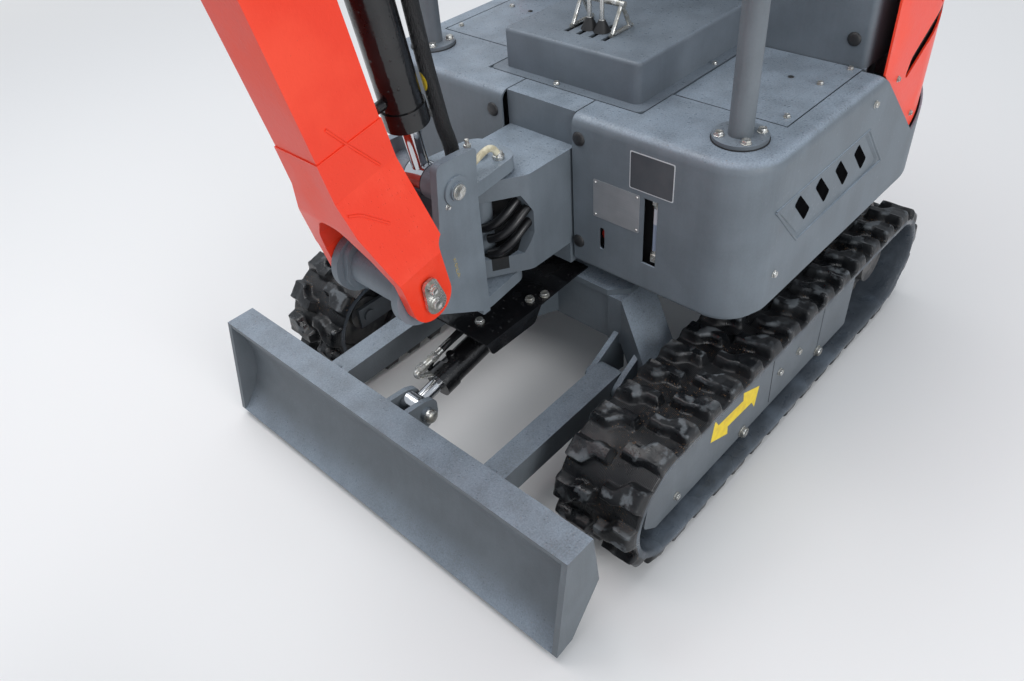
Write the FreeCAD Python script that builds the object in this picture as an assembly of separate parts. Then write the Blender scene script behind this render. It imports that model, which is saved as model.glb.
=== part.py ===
"""Mini excavator of the one tonne class, on rubber tracks, with a swing boom and a four post canopy.

Millimetres. +X points to the blade at the front, +Y to the machine's left, +Z up, and the tracks
stand on z = 0. Every piece is modelled about the slew axis at x = 0. At the end the whole machine
is moved along X, so that the middle of its box is over the origin.
"""
import FreeCAD, Part
import math
import os

V = FreeCAD.Vector

# Clearances and sheet
fit_gap = 0.3
seat_gap = 0.3
side_gap = 2.0
run_gap = 6.0
sheet = 4.0

# Rubber tracks
track_pitch = 72.0
track_links = 35
track_pitch_radius = 115.0
track_width = 180.0
track_centre_y = 412.0
belt_outside = 9.5
belt_thickness = 18.0
lug_height = 22.0
lug_foot = 46.0
lug_top = 30.0
lug_strip_gap = 8.0

# Track frames, wheels and rollers
idler_width = 50.0
sprocket_teeth = 9
motor_radius = 62.0
motor_plate = 14.0
hub_radius = 34.0
beam_half_width = 26.0
beam_low = 62.0
beam_high = 226.0
roller_radius = 33.0
roller_places = (-240.0, 0.0, 240.0)
cover_face_inset = 34.0
cover_thickness = 6.0
cover_low = 46.0
cover_high = 208.0
cover_rear_x = -185.0
cover_front_x = 500.0

# Chassis
plate_top_z = 340.0
chassis_top_plate = 14.0
chassis_half_x = 228.0
chassis_half_y = 205.0
chassis_corner = 34.0
chassis_low_z = 212.0
leg_width = 104.0
leg_root_x = 174.0
leg_foot_x = 216.0
leg_foot_y = 298.0
leg_foot_top_z = 220.0
leg_foot_low_z = 112.0
tie_hole_radius = 14.0
tie_plate = 16.0
tie_reach = 62.0
tie_root = 52.0
tie_z = 236.0

# Dozer blade and push arms
blade_half_width = 487.0
blade_top_z = 254.0
blade_low_z = 20.0
blade_front_x = 738.0
blade_tip_x = 776.0
blade_back_x = 673.0
blade_plate = 10.0
blade_hollow = 46.0
end_plate = 12.0
end_mid_x = 658.0
end_mid_z = 124.0
end_low_x = 734.0
blade_pivot_x = 304.0
blade_pivot_z = 178.0
push_arm_y = 229.0
push_arm_half_width = 27.0
push_arm_half_depth = 29.0
pivot_ear = 12.0
pivot_pin_radius = 15.0
blade_eye_x = 628.0
blade_eye_z = 214.0
blade_ram_base_x = 300.0
blade_ram_base_z = 277.0
guard_half_width = 92.0
guard_low_z = 338.0
guard_front_x = 500.0
guard_bend_x = 350.0
guard_flap = 36.0

# Slewing house
slew_ring_radius = 172.0
slew_race_width = 48.0
slew_gap = 6.0
house_floor_z = 374.0
house_floor_plate = 12.0
house_front_x = 230.0
house_tail_x = -620.0
house_half_width = 470.0
house_low_z = 390.0
deck_z = 700.0
front_corner_radius = 90.0
rear_corner_radius = 190.0
deck_edge_radius = 20.0
cover_inner_y = 88.0
side_break_x = -212.0
tip_x = -430.0
tip_z = 507.0
tail_seam_x = -535.0
tail_seam_z = 560.0
panel_seam = 5.0
counterweight_depth = 105.0
recess_depth = 15.0
recess_depth_side = 4.0
recess_slope = 9.0
slot_step = 76.0
gauge_slot_y = 267.5
gauge_slot_width = 31.0
gauge_low_z = 445.0
gauge_high_z = 586.0
switch_slot_y = 158.0
switch_slot_radius = 6.5
switch_low_z = 436.0
switch_high_z = 486.0

# Deck
deck_plate_front_x = 56.0
deck_plate_rear_x = -226.0
deck_plate_inner_y = 190.0
deck_plate_outer_y = 418.0
step_front_x = 133.0
step_half_width = 165.0
step_height = 78.0
step_flange = 22.0
slot_length = 72.0
slot_width = 11.0
slot_pitch = 30.0

# Seat box, seat and rear covers
seat_box_front_x = -228.0
seat_box_rear_x = -470.0
seat_box_half_width = 423.0
seat_box_top_z = 950.0
rear_top_z = 960.0
rear_inset = 8.0
rear_top_radius = 26.0
door_half_width = 250.0
door_low_z = 640.0
door_high_z = 905.0
hinge_radius = 6.0
hinge_pin_radius = 3.0
hinge_length = 30.0
hinge_y = 165.0
engine_rear_x = -505.0
engine_front_x = -270.0
engine_half_width = 230.0
engine_top_z = 800.0
seat_half_width = 215.0
seat_front_x = -130.0
seat_rear_x = -485.0
seat_lift = 35.0
seat_thickness = 80.0
seat_back_height = 415.0
seat_base_z = seat_box_top_z + seat_lift
seat_top_z = seat_base_z + seat_thickness
seat_back_top_z = seat_base_z + seat_back_height
seat_back_thickness = 72.0
seat_back_lean = 8.0

# Canopy
post_radius = 21.0
front_post_x = 136.0
post_y = 376.0
rear_post_x = -512.0
rear_post_y = 316.0
post_flange_radius = 48.0
post_flange = 8.0
roof_z = 2244.0
roof_thickness = 46.0
roof_front_x = 240.0
roof_rear_x = -600.0
roof_half_width = 440.0
roof_corner = 70.0

# Swing bracket and post
nose_half_width = 82.0
nose_top_z = 630.0
nose_low_z = 424.0
nose_arm = 40.0
nose_notch_x = 338.0
swing_x = 392.0
swing_boss_radius = 50.0
swing_pin_radius = 20.0
post_lug = 26.0
post_spine_x = 466.0
post_spine = 18.0
cheek_inner_y = 59.0
cheek = 16.0
boom_pivot_x = 625.0
boom_pivot_z = 535.0
boom_ram_foot_x = 515.0
boom_ram_foot_z = 677.0
boss_tube_radius = 38.0
boss_flange_radius = 58.0
boss_half_width = 88.0

# Boom, in its own frame: x along the lower section, z towards the machine
boom_angle = 79.0
boom_lower = 790.0
boom_upper = 700.0
boom_bend = 38.0
boom_half_width = 50.0
boom_wall = 7.0
boom_half_depth = 62.0
boom_knee_depth = 68.0
boom_tip_depth = 44.0
fork_half_width = 110.0
fork_ear = 20.0
fork_end = 300.0
fork_ear_radius = 42.0
boom_pin_radius = 19.0
boom_slot_length = 138.0
boom_slot_side = 2.5
boom_ram_head = (729.0, 155.0)
arm_ram_base = (866.0, 131.0)
bracket_plate = 12.0
hose_foot_run = ((-41.0, 0.0, 68.0), (-6.0, 4.0, 270.0), (16.0, 14.0, 430.0))
hose_rise_run = ((54.0, -8.0, 560.0), (118.0, 0.0, 680.0))
hose_knee_point = (boom_lower + 70.0, 84.0)
hose_boom_run = ((230.0, 60.0), (400.0, 48.0), (560.0, 44.0))
hose_radius = 13.0
hose_low_y = 18.0
hose_high_y = 63.3

# Arm, in its own frame: x towards the bucket, z away from the machine
arm_angle = -91.0
arm_length = 820.0
arm_half_width = 40.0
arm_wall = 6.0
arm_pin_radius = 17.0
arm_lug = (-170.0, 85.0)
bucket_ram_span = 670.0
bucket_ram_height = 110.0
bucket_ram_base = (arm_length - bucket_ram_span, bucket_ram_height)
arm_end_radius = 27.0
rocker_back = 170.0
rocker_length = 190.0
link_length = 180.0

# Bucket, in its own frame: x from the pivot to the cutting edge, z towards the shell
bucket_pin_radius = 13.0
bucket_pin_spacing = 120.0
bucket_rest_angle = 125.0
bucket_edge_angle = 102.0
bucket_reach = 372.0
bucket_half_width = 190.0
bucket_shell = 8.0
bucket_ear = 12.0
tooth_count = 4
tooth_length = 66.0
tooth_width = 34.0

# Hydraulic cylinders: barrel radius, rod radius, eye radius, eye half width, pin radius, neck length
boom_ram_size = (35.0, 16.0, 30.0, 20.0, 16.0, 66.0)
arm_ram_size = (30.0, 15.0, 28.0, 18.0, 14.0, 66.0)
bucket_ram_size = (27.0, 13.0, 24.0, 17.0, 13.0, 52.0)
blade_ram_size = (29.0, 15.0, 25.0, 18.0, 14.0, 40.0)

# What lies between a closed cylinder's barrel end and the middle of its rod eye
boom_ram_neck = 109.0
arm_ram_neck = 111.0
bucket_ram_neck = 87.0
blade_ram_neck = 37.0
rod_overlap = 60.0

# Travel of the joints, in degrees from the pose in which the machine stands
boom_travel = 105.0
arm_travel = 102.0
bucket_travel = 150.0
blade_up = 17.0
blade_down = 20.0
swing_travel = 50.0
door_travel = 75.0


def at(a, b, axis, level):
    """Point (a, b) of a plane across an axis, in the order XY, XZ or YZ."""
    if axis == "z":
        return V(a, b, level)
    if axis == "y":
        return V(a, level, b)
    return V(level, a, b)


def outline(corners, axis, level):
    """Closed wire through corners (a, b) or (a, b, radius), where a radius rounds the corner."""
    count = len(corners)
    starts = []
    ends = []
    middles = []
    for i, corner in enumerate(corners):
        here = FreeCAD.Vector(corner[0], corner[1], 0)
        radius = corner[2] if len(corner) > 2 else 0.0
        before = corners[i - 1]
        after = corners[(i + 1) % count]
        back = (V(before[0], before[1], 0) - here).normalize()
        ahead = (V(after[0], after[1], 0) - here).normalize()
        turn = back.getAngle(ahead)
        if radius < 0.01 or abs(turn - math.pi) < 0.001:
            starts.append(here)
            ends.append(here)
            middles.append(None)
            continue
        cut = radius / math.tan(turn / 2)
        inward = (back + ahead).normalize()
        starts.append(here + back * cut)
        ends.append(here + ahead * cut)
        middles.append(here + inward * (radius / math.sin(turn / 2) - radius))
    edges = []
    for i in range(count):
        if middles[i] is not None:
            arc = [at(p.x, p.y, axis, level) for p in (starts[i], middles[i], ends[i])]
            edges.append(Part.Arc(*arc).toShape())
        start = at(ends[i].x, ends[i].y, axis, level)
        end_2d = starts[(i + 1) % count]
        end = at(end_2d.x, end_2d.y, axis, level)
        if (end - start).Length > 0.001:
            edges.append(Part.LineSegment(start, end).toShape())
    return Part.Wire(edges)


def slab(corners, axis, low, high):
    """Prism of an outline between two levels of an axis."""
    face = Part.Face(outline(corners, axis, low))
    return face.extrude(at(0, 0, axis, high - low))


def box(x, y, z):
    """Box between the low and high values of each axis."""
    return Part.makeBox(x[1] - x[0], y[1] - y[0], z[1] - z[0], V(x[0], y[0], z[0]))


def bar(start, end, radius):
    """Round bar between two points."""
    return Part.makeCylinder(radius, (end - start).Length, start, end - start)


def across(x, z, low, high, radius):
    """Round bar across the machine at (x, z)."""
    return bar(V(x, low, z), V(x, high, z), radius)


def fused(shapes):
    """One solid out of pieces that touch."""
    body = shapes[0].multiFuse(shapes[1:]) if len(shapes) > 1 else shapes[0]
    return body.removeSplitter()


def mirrored(shape):
    """The same piece on the other side of the machine."""
    return shape.mirror(V(0, 0, 0), V(0, 1, 0))


def both_sides(shape):
    """A piece and its mirror image."""
    return [shape, mirrored(shape)]


def stand(shape, origin, angle):
    """Turn a piece from its own frame up by an angle, and put its origin at (x, z)."""
    placed = shape.copy()
    placed.rotate(V(0, 0, 0), V(0, 1, 0), -angle)
    placed.translate(V(origin[0], 0, origin[1]))
    return placed


def world(point, origin, angle):
    """Where a point (x, z) of a piece's own frame is on the machine."""
    a = math.radians(angle)
    x = origin[0] + point[0] * math.cos(a) - point[1] * math.sin(a)
    z = origin[1] + point[0] * math.sin(a) + point[1] * math.cos(a)
    return (x, z)


def polar(origin, length, angle):
    """Point at a distance and angle from another, in the plane of the boom."""
    return world((length, 0.0), origin, angle)


def distance(a, b):
    """Distance between two points (x, z)."""
    return math.hypot(b[0] - a[0], b[1] - a[1])


def heading(a, b):
    """Angle of the line from a to b, in degrees up from +X."""
    return math.degrees(math.atan2(b[1] - a[1], b[0] - a[0]))


def third_point(a, reach_a, b, reach_b):
    """Point at reach_a from a and reach_b from b, on the left of the line from b to a."""
    span = distance(a, b)
    along = (reach_a ** 2 + span ** 2 - reach_b ** 2) / (2 * span)
    turn = math.degrees(math.acos(along / reach_a))
    return polar(a, reach_a, heading(a, b) + turn)


# Places of the pins, on the machine as it stands
boom_pivot = (boom_pivot_x, boom_pivot_z)
boom_ram_foot = (boom_ram_foot_x, boom_ram_foot_z)
arm_pivot_in_boom = polar((boom_lower, 0.0), boom_upper, -boom_bend)
arm_pivot = world(arm_pivot_in_boom, boom_pivot, boom_angle)
boom_ram_top = world(boom_ram_head, boom_pivot, boom_angle)
arm_ram_back = world(arm_ram_base, boom_pivot, boom_angle)
arm_ram_eye = world(arm_lug, arm_pivot, arm_angle)
bucket_pivot = polar(arm_pivot, arm_length, arm_angle)
rocker_pivot = polar(arm_pivot, arm_length - rocker_back, arm_angle)
bucket_ram_back = world(bucket_ram_base, arm_pivot, arm_angle)
bucket_link_pin = polar(bucket_pivot, bucket_pin_spacing, arm_angle + bucket_rest_angle)
rocker_pin = third_point(rocker_pivot, rocker_length, bucket_link_pin, link_length)
bucket_angle = arm_angle + bucket_rest_angle - bucket_edge_angle
blade_pivot = (blade_pivot_x, blade_pivot_z)
tie_x = -chassis_half_x + 6 - tie_reach + tie_hole_radius + 14
blade_eye = (blade_eye_x, blade_eye_z)
blade_ram_base = (blade_ram_base_x, blade_ram_base_z)
door_axis = (house_tail_x + rear_inset - hinge_radius - 0.5, door_high_z - 2.5)

# Wheel centres of the tracks
track_outer_radius = track_pitch_radius + belt_outside + lug_height
axle_z = track_outer_radius
wheelbase = (track_links * track_pitch - 2 * math.pi * track_pitch_radius) / 2
belt_radius = track_pitch_radius + belt_outside
belt_inner_radius = belt_radius - belt_thickness
track_edge_y = track_centre_y + track_width / 2


def track_point(place, height):
    """Point at a height over the belt, at a place along the loop's pitch line."""
    loop = track_links * track_pitch
    arc = math.pi * track_pitch_radius
    place = place % loop
    half = wheelbase / 2
    radius = belt_radius + height
    if place < wheelbase:
        return (half - place, axle_z + radius)
    if place < wheelbase + arc:
        turn = math.radians(90) + (place - wheelbase) / track_pitch_radius
        return (-half + radius * math.cos(turn), axle_z + radius * math.sin(turn))
    if place < 2 * wheelbase + arc:
        return (-half + place - wheelbase - arc, axle_z - radius)
    turn = math.radians(-90) + (place - 2 * wheelbase - arc) / track_pitch_radius
    return (half + radius * math.cos(turn), axle_z + radius * math.sin(turn))


def belt_half(low_y, high_y, shift):
    """One half of the belt's width with its lugs in the outline, shifted along the loop."""
    points = []
    for link in range(track_links):
        place = link * track_pitch + shift
        for step, height in ((-lug_foot, 0.0), (-lug_top, lug_height), (lug_top, lug_height),
                             (lug_foot, 0.0)):
            points.append(track_point(place + step / 2, height))
    band = slab(points, "y", low_y, high_y)
    half = wheelbase / 2
    r = belt_inner_radius
    inside = [(half + r, axle_z + r, r - 0.5), (-half - r, axle_z + r, r - 0.5),
              (-half - r, axle_z - r, r - 0.5), (half + r, axle_z - r, r - 0.5)]
    return band.cut(slab(inside, "y", low_y - 1, high_y + 1))


def make_track():
    """Rubber track: an endless belt with two staggered rows of lugs."""
    inner = track_centre_y - track_width / 2
    row_end = track_centre_y - lug_strip_gap / 2
    row_start = track_centre_y + lug_strip_gap / 2
    inner_row = belt_half(inner, row_end, 0.0)
    outer_row = belt_half(row_start, track_edge_y, track_pitch / 2)
    half = wheelbase / 2
    r = belt_radius
    loop = [(half + r, axle_z + r, r - 0.5), (-half - r, axle_z + r, r - 0.5),
            (-half - r, axle_z - r, r - 0.5), (half + r, axle_z - r, r - 0.5)]
    core = slab(loop, "y", row_end, row_start)
    r = belt_inner_radius
    inside = [(half + r, axle_z + r, r - 0.5), (-half - r, axle_z + r, r - 0.5),
              (-half - r, axle_z - r, r - 0.5), (half + r, axle_z - r, r - 0.5)]
    core = core.cut(slab(inside, "y", row_end - 1, row_start + 1))
    return fused([inner_row, core, outer_row])


def make_idler():
    """Front idler wheel: a rim with a web and a hub on the track frame's axle."""
    x = wheelbase / 2
    r = belt_inner_radius - seat_gap
    y = track_centre_y
    w = idler_width / 2
    wheel = across(x, axle_z, y - w, y + w, r)
    for low, high in ((y - w - 1, y - 10), (y + 10, y + w + 1)):
        groove = across(x, axle_z, low, high, r - 16).cut(across(x, axle_z, low, high, hub_radius + 8))
        wheel = wheel.cut(groove)
    return wheel.cut(across(x, axle_z, y - w - 1, y + w + 1, pivot_pin_radius + fit_gap))


def make_sprocket():
    """Rear drive sprocket with its travel motor, whose teeth reach into the belt's row of holes."""
    x = -wheelbase / 2
    y = track_centre_y
    w = idler_width / 2
    tip = belt_inner_radius - seat_gap
    root = tip - 20
    points = []
    for i in range(sprocket_teeth):
        for part, radius in ((0.0, root), (0.32, root), (0.46, tip), (0.86, tip)):
            a = 2 * math.pi * (i + part) / sprocket_teeth
            points.append((x + radius * math.cos(a), axle_z + radius * math.sin(a)))
    wheel = slab(points, "y", y - 12, y + 12)
    motor = across(x, axle_z, y - track_width / 2, y + w, motor_radius)
    cap = across(x, axle_z, y + w, y + w + 18, motor_radius - 12)
    return fused([wheel, motor, cap])


def make_rollers():
    """Bottom rollers on their pins, which run on the belt's lower stretch."""
    z = axle_z - belt_inner_radius + seat_gap + roller_radius
    rollers = []
    for x in roller_places:
        for y in (track_centre_y - beam_half_width - 12, track_centre_y + beam_half_width + 12):
            rollers.append(across(x, z, y - 9, y + 9, roller_radius))
        rollers.append(across(x, z, track_centre_y - beam_half_width - 12,
                              track_centre_y + beam_half_width + 12, 14))
    count = len(rollers) // 3
    return Part.makeCompound([fused(rollers[3 * i:3 * i + 3]) for i in range(count)])


def make_track_frame():
    """Track frame: a long box beam with the idler's fork and the flat outer side cover."""
    y = track_centre_y
    roller_z = axle_z - belt_inner_radius + seat_gap + roller_radius
    low = roller_z + roller_radius + run_gap
    end_x = wheelbase / 2 - belt_inner_radius - 12
    beam = box((-end_x, end_x), (y - beam_half_width, y + beam_half_width), (low, beam_high))
    idler_x = wheelbase / 2
    fork_y = idler_width / 2 + side_gap
    fork_plate = 10.0
    pieces = [beam]
    for side in (-1, 1):
        inner = y + side * fork_y
        outer = y + side * (fork_y + fork_plate)
        pieces.append(box((end_x - 60, idler_x + 26), sorted((inner, outer)), (axle_z - 26, axle_z + 26)))
        pieces.append(box((end_x - 60, end_x - 6), sorted((y, outer)), (axle_z - 26, axle_z + 26)))
    pieces.append(across(idler_x, axle_z, y - fork_y - fork_plate - 6, y + fork_y + fork_plate + 6,
                         pivot_pin_radius))
    ear_low = roller_z - 8
    for x in roller_places:
        for side in (-1, 1):
            inner = y + side * (beam_half_width - 12)
            outer = y + side * beam_half_width
            pieces.append(box((x - 20, x + 20), sorted((inner - side * fit_gap, outer - side * fit_gap)),
                              (ear_low, low + 5)))
    face = track_edge_y - cover_face_inset
    corners = [(cover_rear_x, cover_low), (cover_front_x - 40, cover_low, 10),
               (cover_front_x, cover_low + 34, 16),
               (cover_front_x - 12, axle_z, 30), (cover_front_x - 70, cover_high, 12),
               (cover_rear_x, cover_high)]
    cover = slab(corners, "y", face - cover_thickness, face)
    for x in roller_places:
        for dx in (-30, 30):
            pieces.append(box((x + dx - 5, x + dx + 5),
                              (y + beam_half_width - 4, face - cover_thickness + 1), (low, low + 30)))
    pieces.append(cover)
    plate_y = y - beam_half_width - 8
    motor_x = -wheelbase / 2
    arm = slab([(-end_x + 20, axle_z - 50), (motor_x, axle_z - motor_radius - 14),
                (motor_x, axle_z + motor_radius + 14),
                (-end_x + 20, axle_z + 50)], "y", plate_y, plate_y + motor_plate)
    ring = across(motor_x, axle_z, plate_y, plate_y + motor_plate, motor_radius + 16)
    bore = across(motor_x, axle_z, plate_y - 1, plate_y + motor_plate + 1, motor_radius + seat_gap)
    pieces.append(arm.fuse(ring).cut(bore))
    frame = fused(pieces)
    for x in roller_places:
        frame = frame.cut(across(x, roller_z, y - beam_half_width - 1, y + beam_half_width + 1, 14 + fit_gap))
    return frame


def make_chassis():
    """Chassis' centre: a deep box with a thick, cornered top plate under the slew ring."""
    x = chassis_half_x
    y = chassis_half_y
    cut = chassis_corner
    plan = [(x, -y + cut), (x, y - cut), (x - cut, y), (-x + cut, y), (-x, y - cut), (-x, -y + cut),
            (-x + cut, -y), (x - cut, -y)]
    leg_top_z = plate_top_z - chassis_top_plate
    top = slab(plan, "z", leg_top_z, plate_top_z)
    centre = box((-x + 6, x - 6), (-y + cut, y - cut), (chassis_low_z, leg_top_z))
    return fused([top, centre])


def make_chassis_legs():
    """Left pair of chassis legs, spread down to the track frame, with the blade arm's two ears on the front one."""
    y = chassis_half_y
    x = chassis_half_x
    leg_top_z = plate_top_z - chassis_top_plate
    pieces = []
    beam_side = track_centre_y - beam_half_width - seat_gap
    half = leg_width / 2
    for end in (-1, 1):
        root_x = end * leg_root_x
        foot_x = end * leg_foot_x
        inner = [(root_x - half, leg_top_z), (root_x + half, leg_top_z), (root_x + half, chassis_low_z),
                 (root_x - half, chassis_low_z)]
        outer = [(foot_x - half, leg_foot_top_z), (foot_x + half, leg_foot_top_z),
                 (foot_x + half, leg_foot_low_z),
                 (foot_x - half, leg_foot_low_z)]
        root = outline(inner, "y", y - chassis_corner)
        knee = outline(inner, "y", y)
        foot = outline(outer, "y", leg_foot_y)
        leg = fused([Part.makeLoft([root, knee], True, True), Part.makeLoft([knee, foot], True, True),
                     slab(outer, "y", leg_foot_y, beam_side)])
        pieces.append(leg)
    px = blade_pivot_x
    pz = blade_pivot_z
    ear = [(x - 22, leg_foot_top_z + 30), (px - 6, pz + 26, 18), (px + 26, pz + 4, 20),
           (px + 18, pz - 32, 20),
           (x - 22, leg_foot_low_z + 18)]
    inner_ear = push_arm_y - push_arm_half_width - side_gap - pivot_ear
    outer_ear = push_arm_y + push_arm_half_width + side_gap
    ears = [slab(ear, "y", low, low + pivot_ear) for low in (inner_ear, outer_ear)]
    pin = across(px, pz, inner_ear - 5, outer_ear + pivot_ear + 5, pivot_pin_radius)
    front = fused([pieces[1], pin] + ears)
    return Part.makeCompound([pieces[0], front])


def make_tie_eye():
    """Tie-down eye: a thick flat lug welded to the rear of the chassis' centre box, with an upright hole."""
    back = -chassis_half_x + 6 - seat_gap
    reach = tie_reach
    plan = [(back, -tie_root), (back, tie_root), (back - reach, tie_hole_radius + 10, 22),
            (back - reach, -tie_hole_radius - 10, 22)]
    lug = slab(plan, "z", tie_z, tie_z + tie_plate)
    hole = Part.makeCylinder(tie_hole_radius, tie_plate + 2, V(tie_x, 0, tie_z - 1))
    return lug.cut(hole)


def make_slew_ring():
    """Slew ring between the chassis and the house: its outer race, bolted to the chassis."""
    low = plate_top_z
    high = house_floor_z - slew_gap
    race = bar(V(0, 0, low), V(0, 0, high), slew_ring_radius)
    lip = bar(V(0, 0, low), V(0, 0, low + 10), slew_ring_radius + 14)
    race = race.fuse(lip).cut(bar(V(0, 0, low - 1), V(0, 0, high + 1), slew_ring_radius - slew_race_width))
    return race.removeSplitter()


def make_blade():
    """Dozer blade: a hollow curved mouldboard with a top plate, end plates, two push arms and a ram bracket."""
    w = blade_half_width - end_plate
    face = [V(blade_front_x, -w, blade_top_z - blade_plate),
            V(blade_front_x + 19 - blade_hollow, -w, (blade_top_z + blade_low_z) / 2),
            V(blade_tip_x, -w, blade_low_z)]
    back = [p + V(-blade_plate, 0, 0) for p in face]
    edges = [Part.Arc(*face).toShape(), Part.LineSegment(face[2], back[2]).toShape(),
             Part.Arc(*reversed(back)).toShape(), Part.LineSegment(back[0], face[0]).toShape()]
    board = Part.Face(Part.Wire(edges)).extrude(V(0, 2 * w, 0))
    top = box((blade_back_x, blade_front_x), (-blade_half_width, blade_half_width),
              (blade_top_z - blade_plate, blade_top_z))
    lip = box((blade_back_x, blade_back_x + blade_plate), (-w, w), (blade_top_z - 40, blade_top_z))
    side = [(blade_back_x, blade_top_z), (blade_front_x, blade_top_z), (blade_tip_x, blade_low_z),
            (end_low_x, blade_low_z + 6), (end_mid_x, end_mid_z)]
    pieces = [board, top, lip]
    end = slab(side, "y", w, blade_half_width)
    pieces += both_sides(end)
    arm_start = blade_pivot_x
    z = blade_pivot_z
    back_mid = blade_front_x + 19 - blade_hollow - blade_plate
    arm = [(arm_start, z + push_arm_half_depth, 30), (back_mid + 4, z + push_arm_half_depth - 10),
           (back_mid + 4, z - push_arm_half_depth - 10), (arm_start, z - push_arm_half_depth, 30),
           (arm_start - push_arm_half_depth, z)]
    arm[0] = (arm_start - push_arm_half_depth, z + push_arm_half_depth, 24)
    arm[3] = (arm_start - push_arm_half_depth, z - push_arm_half_depth, 24)
    arm.pop()
    beam = slab(arm, "y", push_arm_y - push_arm_half_width, push_arm_y + push_arm_half_width)
    beam = beam.cut(across(blade_pivot_x, z, 0, blade_half_width, pivot_pin_radius + fit_gap))
    gusset = slab([(back_mid - 70, z + 18), (back_mid + 4, z + 18), (back_mid + 4, z + 52)], "y",
                  push_arm_y - 5, push_arm_y + 5)
    pieces += both_sides(beam) + both_sides(gusset)
    eye_side = blade_ram_size[3] + side_gap
    ear = [(blade_eye_x - 4, blade_eye_z + 28, 20), (back_mid + 4, blade_top_z - 4),
           (back_mid + 4, blade_eye_z - 70),
           (blade_eye_x - 30, blade_eye_z - 28, 20), (blade_eye_x - 32, blade_eye_z + 16, 20)]
    plate = slab(ear, "y", eye_side, eye_side + pivot_ear)
    head = across(blade_eye_x, blade_eye_z, eye_side, eye_side + pivot_ear + 12, blade_ram_size[4])
    pieces += both_sides(fused([plate, head]))
    return fused(pieces)


def make_blade_ram_bracket():
    """Clevis at the chassis' front that holds the blade cylinder's base."""
    side = blade_ram_size[3] + side_gap
    x, z = blade_ram_base
    start = chassis_half_x - 6 + seat_gap
    high = plate_top_z - chassis_top_plate - seat_gap
    ear = [(start, high), (x + 6, high, 16), (x + 26, z + 12, 16), (x + 22, z - 22, 18), (start, z - 60)]
    plates = both_sides(slab(ear, "y", side, side + pivot_ear))
    pin = across(x, z, -side - pivot_ear - 5, side + pivot_ear + 5, blade_ram_size[4])
    back = box((start, start + 8), (-side - 1, side + 1), (z - 56, high))
    return fused(plates + [pin, back])


def make_guard():
    """Folded black sheet over the blade cylinder's base, which lies on the chassis' top plate."""
    rear = slew_ring_radius + 20
    rest_z = plate_top_z + seat_gap + sheet
    w = guard_half_width
    top = [(rear, rest_z), (chassis_half_x + 12, rest_z), (guard_bend_x, guard_low_z),
           (guard_front_x, guard_low_z - 3),
           (guard_front_x, guard_low_z - 3 - sheet), (guard_bend_x, guard_low_z - sheet),
           (chassis_half_x + 12, rest_z - sheet), (rear, rest_z - sheet)]
    roof = slab(top, "y", -w, w)
    flap = [(guard_bend_x - 10, guard_low_z), (guard_front_x, guard_low_z - 3),
            (guard_front_x - 12, guard_low_z - guard_flap, 12),
            (guard_bend_x + 14, guard_low_z - guard_flap, 12)]
    return fused([roof] + both_sides(slab(flap, "y", w - sheet, w)))


def ram(base, eye, size, barrel_length, stroke, bored):
    """Barrel and rod of a cylinder between two pins, with the rod as far in as the pins say."""
    barrel_radius, rod_radius, eye_radius, half_width, pin_radius, neck_length = size
    span = distance(base, eye)
    collar = 6.0
    neck = box((0, neck_length + 1), (-half_width, half_width), (-eye_radius * 0.8, eye_radius * 0.8))
    tube = bar(V(neck_length, 0, 0), V(barrel_length, 0, 0), barrel_radius)
    gland = bar(V(barrel_length - 34, 0, 0), V(barrel_length, 0, 0), barrel_radius + collar / 2)
    ring = across(0, 0, -half_width, half_width, eye_radius)
    ports = []
    for x in (neck_length + 24, barrel_length - 52):
        ports.append(bar(V(x, 0, 0), V(x, 0, barrel_radius + 14), 9))
    barrel = fused([tube, neck, gland, ring] + ports)
    hidden = rod_overlap + stroke
    depth = barrel_length - hidden - 8
    barrel = barrel.cut(bar(V(depth, 0, 0), V(barrel_length + 1, 0, 0), rod_radius + 0.5))
    barrel = barrel.cut(across(0, 0, -half_width - 1, half_width + 1, pin_radius + fit_gap))
    inside = barrel_length - (hidden if bored else rod_overlap)
    rod = bar(V(inside, 0, 0), V(span - eye_radius * 0.6, 0, 0), rod_radius)
    head = across(span, 0, -half_width, half_width, eye_radius)
    rod = fused([rod, head])
    angle = heading(base, eye)
    return stand(barrel, base, angle), stand(rod, base, angle)


def turned_down(point, pivot, angle):
    """A point after its piece has turned down about a pivot."""
    return polar(pivot, distance(pivot, point), heading(pivot, point) - angle)


def ram_stroke(base, eye, moved_base, moved_eye):
    """How far the rod travels between two positions of its pins."""
    return abs(distance(moved_base, moved_eye) - distance(base, eye))


boom_stroke = ram_stroke(boom_ram_top, boom_ram_foot, turned_down(boom_ram_top, boom_pivot, boom_travel),
                         boom_ram_foot)
arm_stroke = ram_stroke(arm_ram_back, arm_ram_eye, arm_ram_back,
                        turned_down(arm_ram_eye, arm_pivot, -arm_travel))
curled_pin = turned_down(bucket_link_pin, bucket_pivot, bucket_travel)
curled_rocker_pin = third_point(rocker_pivot, rocker_length, curled_pin, link_length)
bucket_stroke = ram_stroke(bucket_ram_back, rocker_pin, bucket_ram_back, curled_rocker_pin)
blade_high_eye = turned_down(blade_eye, blade_pivot, -blade_up)
blade_low_eye = turned_down(blade_eye, blade_pivot, blade_down)
blade_short = distance(blade_ram_base, blade_eye) - distance(blade_ram_base, blade_high_eye)
blade_long = distance(blade_ram_base, blade_low_eye) - distance(blade_ram_base, blade_eye)
closed_boom = distance(boom_ram_top, boom_ram_foot)
closed_arm = distance(arm_ram_back, arm_ram_eye) - arm_stroke
closed_bucket = distance(bucket_ram_back, rocker_pin)
closed_blade = distance(blade_ram_base, blade_eye) - blade_short


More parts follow.
